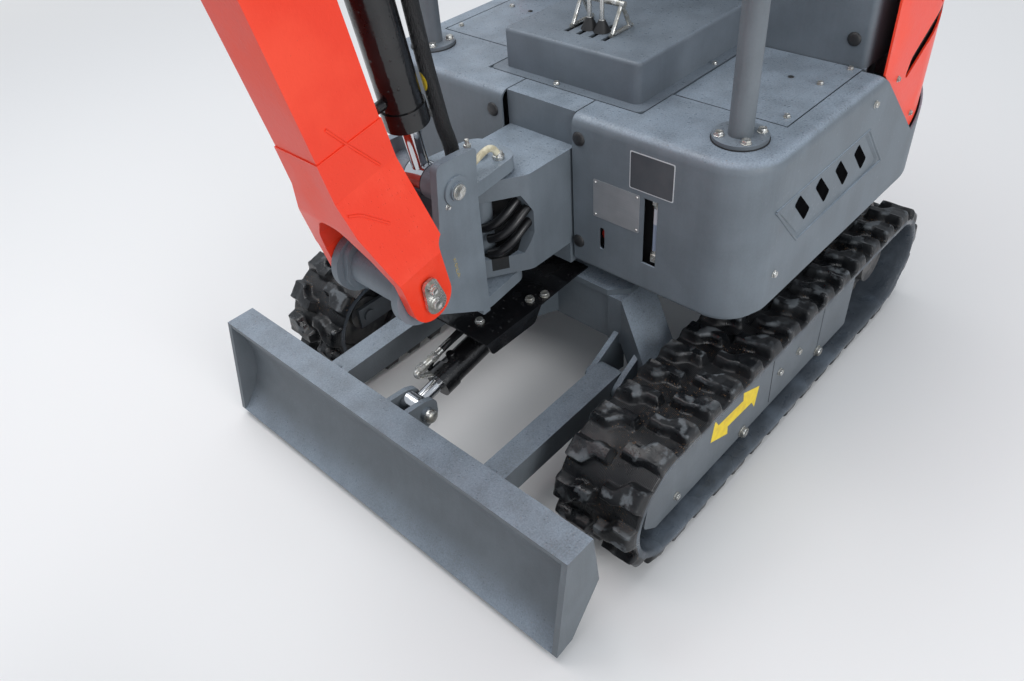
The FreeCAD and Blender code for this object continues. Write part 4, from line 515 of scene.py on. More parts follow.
def flat_plate(corners, thick, place, across, up):
    """A thin plate whose outline lies on a face: corners (a, b) along the across and up directions from a
    place, raised by its thickness along their cross product, with its underside just inside the face."""
    across, up = Vector(across).normalized(), Vector(up).normalized()
    out = across.cross(up)
    flat = [Vector(place) + across * a + up * b for a, b in corners]
    count = len(flat)
    points = [p - out * 0.0004 for p in flat] + [p + out * thick for p in flat]
    faces = [list(range(count)), list(range(count, 2 * count))]
    faces += [[i, (i + 1) % count, count + (i + 1) % count, count + i] for i in range(count)]
    return np.array([list(p) for p in points]), faces


# A thin near-black strip runs down each cover where its two plates meet: painted shade of the groove between them.
seams = []
for side, word in ((1, "left"), (-1, "right")):
    spot, _ = landed("track_frame_" + word, at(0.044, side * 0.7, 0.12), (0, -side, 0))
    seams.append(flat_plate([(-0.0009, -0.062), (0.0009, -0.062), (0.0009, 0.072), (-0.0009, 0.072)], 0.0004,
                            Vector((spot.x, spot.y, 0.12)), (-side, 0, 0), (0.05, 0, 1)))
# The cover's rear plate runs on past the frame's to the drive motor.
cover_tails = []
for side, word in ((1, "left"), (-1, "right")):
    tail = [(-0.072, -0.080), (0.072, -0.080), (0.072, 0.0795), (-0.058, 0.0795), (-0.072, 0.050)]
    cover_tails.append(flat_plate([(a * side * -side, b) for a, b in tail], 0.0012, at(-0.2440, side * 0.4681, 0.1270), (-side, 0, 0), (0, 0, 1)))
fixed("track_cover_tails", joined_forms(*cover_tails), dry_coat, "undercarriage")
fixed("track_cover_seams", joined_forms(*seams), gap_shade_black, "undercarriage")

# A yellow arrow of printed film on each cover points both ways along the track.
film, film_entries, film_place = new_finish("yellow_film", (0.86, 0.62, 0.020), 0.38)
joined(film_entries["Base Color"], film_place.noise(55.0, 4.0).over(0.35, 0.75).colours((0.90, 0.66, 0.020), (0.74, 0.52, 0.03)))
joined(film_entries["Roughness"], 0.32 + film_place.noise(30.0) * 0.2)
arrow = [(-0.090, -0.010), (-0.081, 0.044), (-0.066, 0.020), (0.027, 0.015), (0.024, 0.039), (0.090, 0.010),
         (0.081, -0.044), (0.066, -0.020), (-0.027, -0.015), (-0.024, -0.039)]
arrows = []
for side, word in ((1, "left"), (-1, "right")):
    spot, _ = landed("track_frame_" + word, at(0.191, side * 0.7, 0.143), (0, -side, 0))
    arrows.append(flat_plate(arrow, 0.0003, spot, (-side, 0, 0), (0, 0, 1)))
fixed("track_arrows", joined_forms(*arrows), film, "undercarriage", sharp=30.0)


def bent_tube(points, radius, sides=14, samples=48, level=(0.0, 1.0, 0.0)):
    """A closed round tube along a uniform cubic B-spline through repeated end points: each sample blends four
    neighbours by (1-t)^3, 3t^3-6t^2+4, -3t^3+3t^2+3t+1 and t^3 over 6; the ring lies across its tangent."""
    knots = np.array([list(p) for p in points])
    knots = np.concatenate([knots[:1], knots[:1], knots, knots[-1:], knots[-1:]])
    place = np.linspace(0, len(knots) - 3 - 1e-6, samples)
    first = place.astype(int)
    t = (place - first)[:, None]
    weights = ((1 - t) ** 3, 3 * t ** 3 - 6 * t ** 2 + 4, -3 * t ** 3 + 3 * t ** 2 + 3 * t + 1, t ** 3)
    line = sum(w * knots[first + n] for n, w in enumerate(weights)) / 6
    ahead = np.gradient(line, axis=0)
    ahead /= np.linalg.norm(ahead, axis=1, keepdims=True) + 1e-12
    one = np.cross(ahead, np.array(level))
    one /= np.linalg.norm(one, axis=1, keepdims=True)
    two = np.cross(one, ahead)
    angle = np.linspace(0, 2 * np.pi, sides, endpoint=False)[None, :, None]
    wide = (np.ones(samples) * radius)[:, None, None]
    grid = line[:, None, :] + wide * (one[:, None, :] * np.cos(angle) + two[:, None, :] * np.sin(angle))
    points, faces = skin(grid, ring_v=True)
    last = len(points) - sides
    return points, faces.tolist() + [list(range(sides)), list(range(last, last + sides))]


# Two bolts hold the black guard over the blade's cylinder, two more its bracket, all into welded nuts.
guard_bolts = []
for x, y in ((0.347, 0.066), (0.318, 0.081), (0.458, 0.032), (0.347, -0.066)):
    spot, facing = landed("blade_ram_guard", at(x, y, 0.6), (0, 0, -1))
    guard_bolts.append((spot, facing, 0.95))
fixed("guard_bolts", copies(hex_bolt, guard_bolts), zinc, "undercarriage")

# Cylinder barrels and the guard are gloss black enamel over steel, orange-peeled and beaded with rain.
gloss_black, gloss_entries, gloss_place = new_finish("gloss_black", (0.008, 0.008, 0.009), 0.16, coat=0.15)
peel = gloss_place.noise(150.0, 2.0)
gloss_drops = rain_beads(gloss_place, 170.0, 0.22)
joined(gloss_entries["Base Color"], gloss_place.noise(14.0, 4.0).over(0.4, 0.8).colours((0.005, 0.005, 0.006), (0.014, 0.014, 0.015)))
joined(gloss_entries["Roughness"], 0.14 + gloss_place.noise(22.0, 4.0).over(0.45, 0.7) * 0.20)
joined(gloss_entries["Normal"], gloss_place.node("ShaderNodeBump", {}, {"Height": peel * 0.0004 + gloss_drops * 0.5, "Distance": 1.0}))
dress(gloss_black, "blade_barrel", "blade_ram_guard", "boom_barrel", "arm_barrel", "bucket_barrel", "seat_base")

# Rods are hard chrome, ground round, with faint rings and a film of oil.
chrome, chrome_entries, chrome_place = new_finish("hard_chrome", (0.78, 0.79, 0.80), 0.10, metallic=1.0)
joined(chrome_entries["Roughness"], 0.07 + chrome_place.noise(40.0, 3.0).over(0.4, 0.7) * 0.10)
joined(chrome_entries["Base Color"], chrome_place.noise(18.0, 3.0).colours((0.50, 0.51, 0.53), (0.68, 0.69, 0.71)))
dress(chrome, "blade_rod", "boom_rod", "arm_rod", "bucket_rod")

# The blade is rolled plate under the same coat, streaked where rain has run down its face.
blade_coat = powder_coat("blade_coat", (0.116, 0.134, 0.150), grain=1.3, wet=0.85, gloss=0.45)
dress(blade_coat, "dozer_blade")

# The blade's cylinder is fed through a plated hose end and a steel pipe clipped along its side; its eye turns on a
# pin with a domed zinc head.
along = Vector((0.328, 0.0, -0.063)).normalized()
hose_end = turned([(0.000, 0.0040, 0), (0.000, 0.0070, 0), (0.018, 0.0072, 0), (0.020, 0.0088, 1), (0.034, 0.0088, 1), (0.036, 0.0074, 0),
                   (0.052, 0.0070, 0), (0.054, 0.0094, 1), (0.068, 0.0094, 1), (0.070, 0.0078, 0), (0.072, 0.0050, 0)], 36)
end_place = at(0.527, -0.012, 0.290)
end_front = end_place + along * 0.070
fixed("blade_hose_end", joined_forms(copies(hose_end, [(end_place, along, 1.0)]),
                                     bent_tube([end_front, end_front + along * 0.008, end_front + Vector((0.002, 0.002, -0.012)),
                                                end_front + Vector((-0.018, 0.003, -0.020)), end_front + Vector((-0.036, 0.004, -0.030))],
                                               0.0064, 16, 30)), zinc, "blade_cylinder")
side_pipe = bent_tube([at(0.405, -0.020, 0.292), at(0.440, -0.028, 0.282), at(0.500, -0.032, 0.268), at(0.548, -0.031, 0.258), at(0.562, -0.022, 0.252)],
                      0.0058, 14, 50)
feed_hose = bent_tube([end_place + along * 0.004, end_place - along * 0.030, end_place - along * 0.075 + Vector((0, 0, 0.004))], 0.0078, 16, 40)
fixed("blade_pipe_and_hose", joined_forms(side_pipe, feed_hose), gloss_black, "blade_cylinder", sharp=60.0)
dome = turned([(-0.001, 0.0080, 0), (-0.001, 0.0150, 0), (0.004, 0.0150, 0), (0.008, 0.0136, 0), (0.011, 0.0100, 0), (0.0125, 0.0040, 0)], 36)
dome_spot, dome_facing = landed("dozer_blade", at(0.628, 0.30, 0.214), (0, -1, 0))
fixed("blade_pin_head", copies(dome, [(dome_spot, dome_facing, 1.0)]), zinc, "blade")

# The house is pressed steel sheet under the same textured coat, a shade lighter than the undercarriage.
cover_coat = powder_coat("cover_coat", (0.121, 0.145, 0.168), grain=0.9, gloss=0.40)
dress(cover_coat, "side_cover_left", "side_cover_right", "deck_plate_left", "deck_plate_right",
      "seat_box", "counterweight")
box_coat = powder_coat("step_box_coat", (0.118, 0.140, 0.165), grain=0.9, wet=0.45, gloss=0.44)
dress(box_coat, "step_box")

# The welded nose carries the boom; the inside of its side windows is painted near-black as shade.
nose_coat = powder_coat("nose_coat", (0.118, 0.140, 0.162), grain=0.9, gloss=0.42, painted_shade_box=(at(0.365, 0.0, 0.512), (0.050, 0.056, 0.075)))
dress(nose_coat, "house_frame")

# Zinc bolts hold the side covers, the deck plates and the raised box's skirt.
house_bolts = []
for x, z in ((0.128, 0.456), (-0.188, 0.659)):
    for side, word in ((1, "left"), (-1, "right")):
        spot, facing = landed("side_cover_" + word, at(x, side * 0.8, z), (0, -side, 0))
        house_bolts.append((spot, facing, 0.72))
for x, y, node, size in ((0.0247, 0.401, "deck_plate_left", 0.62), (-0.126, 0.385, "deck_plate_left", 0.62),
                         (-0.215, 0.400, "deck_plate_left", 0.62), (0.0247, -0.401, "deck_plate_right", 0.62),
                         (-0.126, -0.385, "deck_plate_right", 0.62), (-0.215, -0.400, "deck_plate_right", 0.62),
                         (0.144, -0.020, "step_box", 0.62), (-0.10, 0.178, "step_box", 0.55), (-0.10, -0.178, "step_box", 0.55)):
    spot, facing = landed(node, at(x, y, 1.2), (0, 0, -1))
    house_bolts.append((spot, facing, size))
fixed("house_bolts", copies(hex_bolt, house_bolts), zinc, "house")

# Black domed plugs close the access holes in the front and in each deck plate.
moulded, moulded_entries, moulded_place = new_finish("black_moulding", (0.016, 0.016, 0.017), 0.42)
joined(moulded_entries["Base Color"], moulded_place.noise(30.0, 3.0).colours((0.010, 0.010, 0.011), (0.026, 0.026, 0.027)))
joined(moulded_entries["Roughness"], 0.36 + moulded_place.noise(60.0, 3.0) * 0.22)
joined(moulded_entries["Normal"], moulded_place.node("ShaderNodeBump", {}, {"Height": moulded_place.noise(900.0, 2.0) * 0.0003, "Distance": 1.0}))
plug = turned([(-0.0010, 0.0140, 0), (0.0008, 0.0140, 0), (0.0026, 0.0128, 0), (0.0042, 0.0098, 0), (0.0050, 0.0050, 0),
               (0.0052, 0.0010, 0)])
plugs = []
for y, z, size in ((0.104, 0.657, 1.0), (-0.113, 0.657, 1.0), (0.100, 0.433, 1.0), (-0.113, 0.433, 1.0), (-0.30, 0.60, 0.8)):
    spot, facing = landed("side_cover_left" if y > 0 else "side_cover_right", at(0.6, y, z), (-1, 0, 0))
    plugs.append((spot, facing, size))
for side, word in ((1, "left"), (-1, "right")):
    spot, facing = landed("deck_plate_" + word, at(-0.125, side * 0.327, 1.2), (0, 0, -1))
    plugs.append((spot, facing, 0.42))
    spot, facing = landed("seat_box", at(-0.10, side * 0.391, 0.751), (-1, 0, 0))
    plugs.append((spot, facing, 0.95))
fixed("cover_plugs", copies(plug, plugs), moulded, "house", sharp=60.0)

# A plain aluminium plate on four rivets and a plain dark plate with a pale border stand on the front, blank.
plate_metal, plate_entries, plate_place = new_finish("brushed_plate", (0.42, 0.43, 0.45), 0.38, metallic=0.7)
brushed = plate_place.noise(900.0, 2.0, (1.0, 0.03, 1.0))
joined(plate_entries["Base Color"], (brushed * 0.5 + plate_place.noise(45.0, 3.0) * 0.5).colours((0.30, 0.31, 0.33), (0.52, 0.53, 0.55)))
joined(plate_entries["Roughness"], 0.30 + brushed * 0.25)


def rectangle(wide, high, round_by=0.003):
    """Corners of a rectangle about its middle, each corner an arc of five points."""
    turn = np.linspace(0, np.pi / 2, 5)
    quarter = [(1, 1, 0), (-1, 1, 1), (-1, -1, 2), (1, -1, 3)]
    return [(sx * (wide / 2 - round_by) + round_by * math.cos(a + n * math.pi / 2),
             sy * (high / 2 - round_by) + round_by * math.sin(a + n * math.pi / 2)) for sx, sy, n in quarter for a in turn]


spot, _ = landed("side_cover_left", at(0.6, 0.191, 0.5475), (-1, 0, 0))
fixed("data_plate_blank", flat_plate(rectangle(0.106, 0.080), 0.0010, spot, (0, 1, 0), (0, 0, 1)), plate_metal, "house")
rivet = turned([(-0.0005, 0.0026, 0), (0.0010, 0.0026, 0), (0.0020, 0.0018, 0), (0.0024, 0.0004, 0)], 12)
rivets = [((spot.x + 0.0008, spot.y + a * 0.0475, spot.z + b * 0.0345), (1, 0, 0), 1.0) for a in (-1, 1) for b in (-1, 1)]
fixed("plate_rivets", copies(rivet, rivets), zinc, "house")
spot, _ = landed("side_cover_left", at(0.6, 0.267, 0.634), (-1, 0, 0))
sign_edge, sign_edge_entries, sign_edge_place = new_finish("pale_film", (0.60, 0.62, 0.64), 0.35)
joined(sign_edge_entries["Base Color"], sign_edge_place.noise(80.0).colours((0.50, 0.52, 0.54), (0.68, 0.70, 0.72)))
sign_dark, sign_dark_entries, sign_dark_place = new_finish("dark_film", (0.055, 0.060, 0.070), 0.30)
joined(sign_dark_entries["Base Color"], sign_dark_place.noise(30.0).colours((0.045, 0.050, 0.060), (0.085, 0.090, 0.100)))
joined(sign_dark_entries["Roughness"], 0.22 + sign_dark_place.noise(45.0) * 0.25)
fixed("sign_border", flat_plate(rectangle(0.094, 0.074), 0.0003, spot, (0, 1, 0), (0, 0, 1)), sign_edge, "house")
fixed("sign_blank", flat_plate(rectangle(0.090, 0.070), 0.0006, spot, (0, 1, 0), (0, 0, 1)), sign_dark, "house")

# Each side cover has a shallow pressed panel with a rolled ridge and a row of four slanted air slots; the slots are
# near-black plates, painted shade of the dark inside.
panels, slots, ridges = [], [], []
for side in (1, -1):
    outline = [(0.0510, -0.0480), (0.1420, 0.0440), (-0.1770, 0.0480), (-0.2680, -0.0440)]
    panels.append(flat_plate([(-side * a, b) for a, b in outline], 0.0006, at(0.0, side * 0.4662, 0.5490), (-side, 0, 0), (0, 0, 1)))
    for n in range(4):
        x = -0.0755 * n
        slot = [(x + 0.0640, 0.5866), (x + 0.0700, 0.5840), (x + 0.0789, 0.5745), (x + 0.0780, 0.5700), (x + 0.0345, 0.5225),
                (x + 0.0290, 0.5225), (x + 0.0185, 0.5345), (x + 0.0180, 0.5400)]
        slots.append(flat_plate([(-side * a, b - 0.5490) for a, b in slot], 0.0010, at(0.0, side * 0.4664, 0.5490), (-side, 0, 0), (0, 0, 1)))
    ring = [(0.0583, 0.4925), (0.1080, 0.5460), (0.1560, 0.5985), (0.0800, 0.6010), (-0.0600, 0.6040), (-0.1900, 0.6060),
            (-0.2350, 0.5560), (-0.2880, 0.5000), (-0.1800, 0.4980), (-0.0600, 0.4955), (0.0583, 0.4925)]
    ridges += [bent_tube([at(x0, side * 0.4694, z0), at((x0 + x1) / 2, side * 0.4694, (z0 + z1) / 2), at(x1, side * 0.4694, z1)],
                         0.0028, 10, 8) for (x0, z0), (x1, z1) in zip(ring[:-1], ring[1:])]
fixed("side_panels", joined_forms(*panels), cover_coat, "house")
fixed("side_panel_ridges", joined_forms(*ridges), cover_coat, "house", sharp=60.0)
fixed("side_air_slots", joined_forms(*slots), slot_shade_black, "house")

# Behind the tall slot stands a fuel sight tube between two zinc unions, behind the small one a red isolator key.
tube_finish, tube_entries, tube_place = new_finish("sight_tube", (0.55, 0.60, 0.68), 0.18)
tube_height = tube_place.node("ShaderNodeSeparateXYZ", {}, {"Vector": tube_place}, output=2)
filled = tube_height.over(0.530, 0.533)
joined(tube_entries["Base Color"], filled.colours((0.35, 0.42, 0.55), (0.72, 0.75, 0.80)))
joined(tube_entries["Roughness"], 0.12 + tube_place.noise(50.0) * 0.15)
gauge_x = 0.214
fixed("sight_tube", copies(turned([(-0.050, 0.0062, 0), (0.050, 0.0062, 0)], 20), [(at(gauge_x, 0.272, 0.520), (0, 0, 1), 1.0)]),
      tube_finish, "house")
union = turned([(-0.012, 0.0060, 0), (-0.012, 0.0088, 1), (0.004, 0.0088, 1), (0.005, 0.0072, 0), (0.012, 0.0068, 0), (0.012, 0.0050, 0)])
fixed("sight_tube_unions", copies(union, [(at(gauge_x, 0.272, 0.462), (0, 0, 1), 1.0), (at(gauge_x, 0.272, 0.577), (0, 0, -1), 1.0)]),
      zinc, "house")
# Near-black plates behind the tube and the key are painted shade of the dark inside the house.
shade_backing = flat_plate(rectangle(0.075, 0.190), 0.0010, at(0.198, 0.262, 0.515), (0, 1, 0), (0, 0, 1))
key_shade_back = flat_plate(rectangle(0.050, 0.080), 0.0010, at(0.196, 0.160, 0.461), (0, 1, 0), (0, 0, 1))
fixed("slot_backing", joined_forms(shade_backing, key_shade_back), gap_shade_black, "house")
red_key, red_key_entries, red_key_place = new_finish("red_key", (0.60, 0.030, 0.015), 0.35)
joined(red_key_entries["Base Color"], red_key_place.noise(120.0).colours((0.42, 0.018, 0.010), (0.72, 0.045, 0.022)))
fixed("isolator_key", copies(turned([(-0.004, 0.009, 0), (-0.004, 0.0125, 0), (0.003, 0.0130, 0), (0.006, 0.0118, 0), (0.006, 0.007, 0)]),
                             [(at(0.208, 0.158, 0.461), (1, 0, 0), 1.0), (at(0.206, 0.158, 0.484), (1, 0, 0), 0.7)]),
      red_key, "house")

# The rear covers are moulded in gloss red, wet with rain, over a black rubber seal and a mesh behind the slots.
red_gloss, red_entries, red_place = new_finish("red_moulding", (0.93, 0.058, 0.022), 0.30)


def wet_red(entries, place, dust=0.35):
    """Red that darkens a little in patches, with grey dust films, drops of rain and an even ripple."""
    film = place.noise(9.0, 4.0).over(0.42, 0.72)
    specks = place.noise(260.0, 2.0).over(0.70, 0.76)
    entries["Specular IOR Level"].default_value = 0.38
    tone = film.colours((0.90, 0.050, 0.018), (0.96, 0.072, 0.030))
    joined(entries["Base Color"], (specks * dust).colours(tone, (0.16, 0.05, 0.035)))
    joined(entries["Roughness"], 0.28 + film * 0.14 + place.noise(70.0, 2.0) * 0.06)
    facing = place.node("ShaderNodeNewGeometry", {}, {}, output=1)
    level = place.node("ShaderNodeSeparateXYZ", {}, {"Vector": facing}, output=2).over(0.05, 0.75)
    drops = rain_beads(place, 190.0, 0.35) * (0.10 + level * 0.7)
    height = place.noise(170.0, 2.0) * 0.00030 + drops
    joined(entries["Normal"], place.node("ShaderNodeBump", {}, {"Height": height, "Distance": 1.0}))


wet_red(red_entries, red_place)
dress(red_gloss, "rear_cover_left", "rear_cover_right", "rear_door")
mesh_finish, mesh_entries, mesh_place = new_finish("grille_mesh", (0.045, 0.046, 0.050), 0.5, metallic=0.4)
# The mesh's wires keep a dark grey; the cells between them are painted near-black as shade of the dark behind the mesh.
cells = mesh_place.node("ShaderNodeTexVoronoi", {"feature": "DISTANCE_TO_EDGE"}, {"Vector": mesh_place, "Scale": 170.0, "Randomness": 0.0})
joined(mesh_entries["Base Color"], cells.over(0.16, 0.24).colours((0.075, 0.077, 0.082), (0.004, 0.004, 0.005)))
joined(mesh_entries["Roughness"], 0.45 + mesh_place.noise(60.0) * 0.2)
joined(mesh_entries["Normal"], mesh_place.node("ShaderNodeBump", {}, {"Height": (1.0 - cells.over(0.10, 0.24)) * 0.0012, "Distance": 1.0}))
meshes = [flat_plate(rectangle(0.21, 0.26), 0.0012, at(-0.385, side * 0.449, 0.740), (-side, 0, 0), (0, 0, 1)) for side in (1, -1)]
meshes.append(flat_plate(rectangle(0.40, 0.20), 0.0012, at(-0.590, 0, 0.775), (0, -1, 0), (0, 0, 1)))
fixed("cover_meshes", joined_forms(*meshes), mesh_finish, "house")
cover_screws = []
for x, z in ((-0.421, 0.548), (-0.300, 0.665), (-0.270, 0.925), (-0.500, 0.925)):
    for side, word in ((1, "left"), (-1, "right")):
        spot, facing = landed("rear_cover_" + word, at(x, side * 0.8, z), (0, -side, 0))
        cover_screws.append((spot, facing, 0.66))
fixed("cover_screws", copies(cap_screw, cover_screws), zinc, "house")

# Four steel tubes carry the canopy. Each stands on a round flange with four bolts, over a black gasket.
post_coat = powder_coat("post_coat", (0.120, 0.138, 0.155), grain=0.7, wet=0.5, gloss=0.36)
dress(post_coat, "canopy_posts", "canopy_roof")
post_feet = []
gaskets = []
gasket = turned([(0.0, 0.0440, 0), (0.0, 0.0496, 0), (0.0022, 0.0496, 0), (0.0022, 0.0440, 0)], 48)
for x, y, z, word in ((0.136, 0.376, 0.700, ""), (0.136, -0.376, 0.700, ""), (-0.512, 0.316, 0.960, ""), (-0.512, -0.316, 0.960, "")):
    for n in range(4):
        angle = math.pi / 4 + n * math.pi / 2
        start = at(x + 0.0365 * math.cos(angle), y + 0.0365 * math.sin(angle), z + 0.06)
        spot, facing = landed("canopy_posts", start, (0, 0, -1))
        post_feet.append((spot, facing, 0.88))
    gaskets.append((at(x, y, z - 0.0002), (0, 0, 1), 1.0))
fixed("post_bolts", copies(hex_bolt, post_feet), zinc, "house")
fixed("post_gaskets", copies(gasket, gaskets), moulded, "house")

# The seat is foam under black grained vinyl on a black steel pan: a cushion and a back, each crowned, with a
# piped edge and two sewn channels. Both are blown up a little as cloth, so that their sides pull in.
vinyl, vinyl_entries, vinyl_place = new_finish("seat_vinyl", (0.016, 0.016, 0.018), 0.45)
grain = vinyl_place.node("ShaderNodeTexVoronoi", {"feature": "DISTANCE_TO_EDGE"}, {"Vector": vinyl_place, "Scale": 420.0})
creases = vinyl_place.noise(24.0, 4.0, (1.0, 0.45, 1.0))
joined(vinyl_entries["Base Color"], vinyl_place.noise(12.0, 4.0).over(0.3, 0.75).colours((0.011, 0.011, 0.012), (0.030, 0.030, 0.032)))
joined(vinyl_entries["Roughness"], 0.38 + creases * 0.22)
joined(vinyl_entries["Normal"], vinyl_place.node("ShaderNodeBump", {}, {
    "Height": grain.over(0.0, 0.12) * 0.00035 + creases * 0.0014, "Distance": 1.0}))


def cushion_form(half_u, half_v, thick, corner, rows=56):
    """A closed pillow about the origin: a rounded rectangle scaled by a superellipse of the height.

    Around it the outline is the point at an angle of a superellipse of power corner, and from the bottom's
    middle over the rim to the top's middle a sine and cosine of power 0.45 give the inset and the height."""
    around = np.linspace(0, 2 * np.pi, 2 * rows, endpoint=False)[None, :]
    over = np.linspace(-np.pi / 2 + 0.02, np.pi / 2 - 0.02, rows)[:, None]
    c, s = np.cos(around), np.sin(around)
    reach = (np.abs(c) ** corner + np.abs(s) ** corner) ** (-1 / corner)
    inset = np.cos(over) ** 0.45
    lift = np.sign(np.sin(over)) * np.abs(np.sin(over)) ** 0.60
    crown = 1.0 + 0.10 * np.cos(over) ** 2
    grid = np.stack([half_u * reach * c * inset, half_v * reach * s * inset, thick / 2 * lift * crown + 0 * around], axis=-1)
    points, faces = skin(grid, ring_v=True)
    last = len(points) - 2 * rows
    return points, faces.tolist() + [list(range(2 * rows)), list(range(last, last + 2 * rows))]


def blown_up(piece, cap, voxel=0.006):
    """Remesh a closed piece, let cloth with inner pressure swell it for 20 frames, and cap how far it moves."""
    bpy.context.view_layer.objects.active = piece
    piece.select_set(True)
    remesh = piece.modifiers.new("even_mesh", "REMESH")
    remesh.mode = "VOXEL"
    remesh.voxel_size = voxel
    bpy.ops.object.modifier_apply(modifier=remesh.name)
    count = len(piece.data.vertices)
    before = np.empty(count * 3)
    piece.data.vertices.foreach_get("co", before)
    cloth = piece.modifiers.new("swelling", "CLOTH")
    cloth.settings.use_pressure = True
    cloth.settings.uniform_pressure_force = 4.0
    cloth.settings.effector_weights.gravity = 0.0
    cloth.settings.tension_stiffness = 20.0
    for number in range(1, 21):
        bpy.context.scene.frame_set(number)
    bpy.ops.object.modifier_apply(modifier=cloth.name)
    bpy.context.scene.frame_set(1)
    after = np.empty(count * 3)
    piece.data.vertices.foreach_get("co", after)
    moved = (after - before).reshape(-1, 3)
    far = np.linalg.norm(moved, axis=1, keepdims=True)
    kept = before.reshape(-1, 3) + moved * np.minimum(1.0, cap / (far + 1e-9))
    piece.data.vertices.foreach_set("co", kept.ravel())
    smooth = piece.modifiers.new("even", "SUBSURF")
    smooth.levels = smooth.render_levels = 1
    bpy.ops.object.modifier_apply(modifier=smooth.name)
    piece.select_set(False)


def sewn(piece, centre, seat_turn, half_u, half_v, channels):
    """Press sewn channels into a cushion's top: each point above the middle sinks by a bell of its distance
    from the nearest channel, and a round bead swells along the rim."""
    count = len(piece.data.vertices)
    flat = np.empty(count * 3)
    piece.data.vertices.foreach_get("co", flat)
    points = flat.reshape(-1, 3)
    local = (points - np.array(centre)) @ np.array(seat_turn)
    sunk = np.zeros(count)
    for v in channels:
        sunk = np.maximum(sunk, np.exp(-((local[:, 1] - v) / 0.006) ** 2))
    inner = np.clip(1.15 - np.abs(local[:, 0]) / half_u, 0, 1) ** 0.5
    top = eased(local[:, 2], 0.0, 0.012)
    rim = np.exp(-((local[:, 2] - 0.004) / 0.006) ** 2)
    outward = local.copy()
    outward[:, 2] = 0
    outward /= np.linalg.norm(outward, axis=1, keepdims=True) + 1e-9
    local[:, 2] -= 0.0085 * sunk * inner * top
    local += outward * (0.0022 * rim)[:, None]
    points = local @ np.array(seat_turn).T + np.array(centre)
    piece.data.vertices.foreach_set("co", points.ravel())
    piece.data.update()


lean = math.radians(8.0)
seat_places = (("seat_cushion_soft", "seat_cushion", at(-0.288, 0.0, 1.026), Matrix.Identity(3), 0.143, 0.208, 0.066, (-0.105, 0.105)),
               ("seat_back_soft", "seat_back", at(-0.510, 0.0, 1.203), Matrix(((0.0, 0.0, 1.0), (0.0, 1.0, 0.0), (-1.0, 0.0, 0.0))),
                0.178, 0.186, 0.052, (-0.095, 0.095)))
for name, node, centre, turn, half_u, half_v, thick, channels in seat_places:
    if node == "seat_back":
        turn = Matrix.Rotation(-lean, 3, "Y") @ turn
    points, faces = cushion_form(half_u, half_v, thick, 5.0)
    points = points @ np.array(turn).T + np.array(centre)
    pad = new_mesh(name, points, faces, vinyl, sharp=80.0)
    blown_up(pad, 0.007)
    sewn(pad, centre, turn, half_u, half_v, channels)
    pad.data.shade_smooth()
    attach(pad, "house")
    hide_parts(node)

# Two travel levers and two foot arms rise through the raised box on zinc brackets; the levers end in black grips.
lever_finish, lever_entries, lever_place = new_finish("lever_zinc_and_grip", (0.5, 0.5, 0.5), 0.3, metallic=0.9)
grip_share = lever_place.node("ShaderNodeSeparateXYZ", {}, {"Vector": lever_place}, output=2).over(1.174, 1.176)
boot_share = 1.0 - lever_place.node("ShaderNodeSeparateXYZ", {}, {"Vector": lever_place}, output=2).over(0.7995, 0.8005)
dark_share = grip_share.maths("MAXIMUM", grip_share, boot_share)
joined(lever_entries["Base Color"], dark_share.colours(lever_place.noise(60.0).colours((0.55, 0.55, 0.53), (0.72, 0.72, 0.70)), (0.016, 0.016, 0.017)))
joined(lever_entries["Metallic"], 0.9 - dark_share * 0.9)
joined(lever_entries["Roughness"], 0.22 + dark_share * 0.28 + lever_place.noise(90.0) * 0.1)
dress(lever_finish, "travel_levers")
dress(moulded, "control_sticks")

bracket_bars = []
for y in (-0.0475, 0.0475):
    foot_z, head_z = 0.7782, 0.8300
    for lean_x in (-0.030, 0.030):
        bracket_bars.append(bent_tube([at(0.030 + lean_x, y, foot_z), at(0.030 + lean_x * 0.5, y, (foot_z + head_z) / 2),
                                       at(0.030, y, head_z)], 0.0042, 10, 14))
    bracket_bars.append(bent_tube([at(-0.004, y, foot_z + 0.003), at(0.030, y, foot_z + 0.003), at(0.064, y, foot_z + 0.003)], 0.0042, 10, 14))
bracket_bars.append(bent_tube([at(0.030, -0.056, 0.830), at(0.030, 0.0, 0.830), at(0.030, 0.056, 0.830)], 0.0058, 12, 16, (0, 0, 1)))
fixed("lever_brackets", joined_forms(*bracket_bars), zinc, "house", sharp=50.0)

# A ribbed rubber boot closes the foot of each control stick.
boot_rows = [(0.0, 0.0330, 0)] + [(0.004 + 0.0028 * n, 0.0325 - 0.00095 * n + (0.0030 if n % 2 else 0.0), 0) for n in range(20)] + [(0.0605, 0.0120, 0)]
boot_form = turned(boot_rows, 32)
stick_boots = []
for side in (1, -1):
    spot = at(-0.288, side * 0.310, 1.0105)
    stick_boots.append((spot, (0, 0, 1), 1.0))
fixed("stick_boots", copies(boot_form, stick_boots), moulded, "house", sharp=50.0)

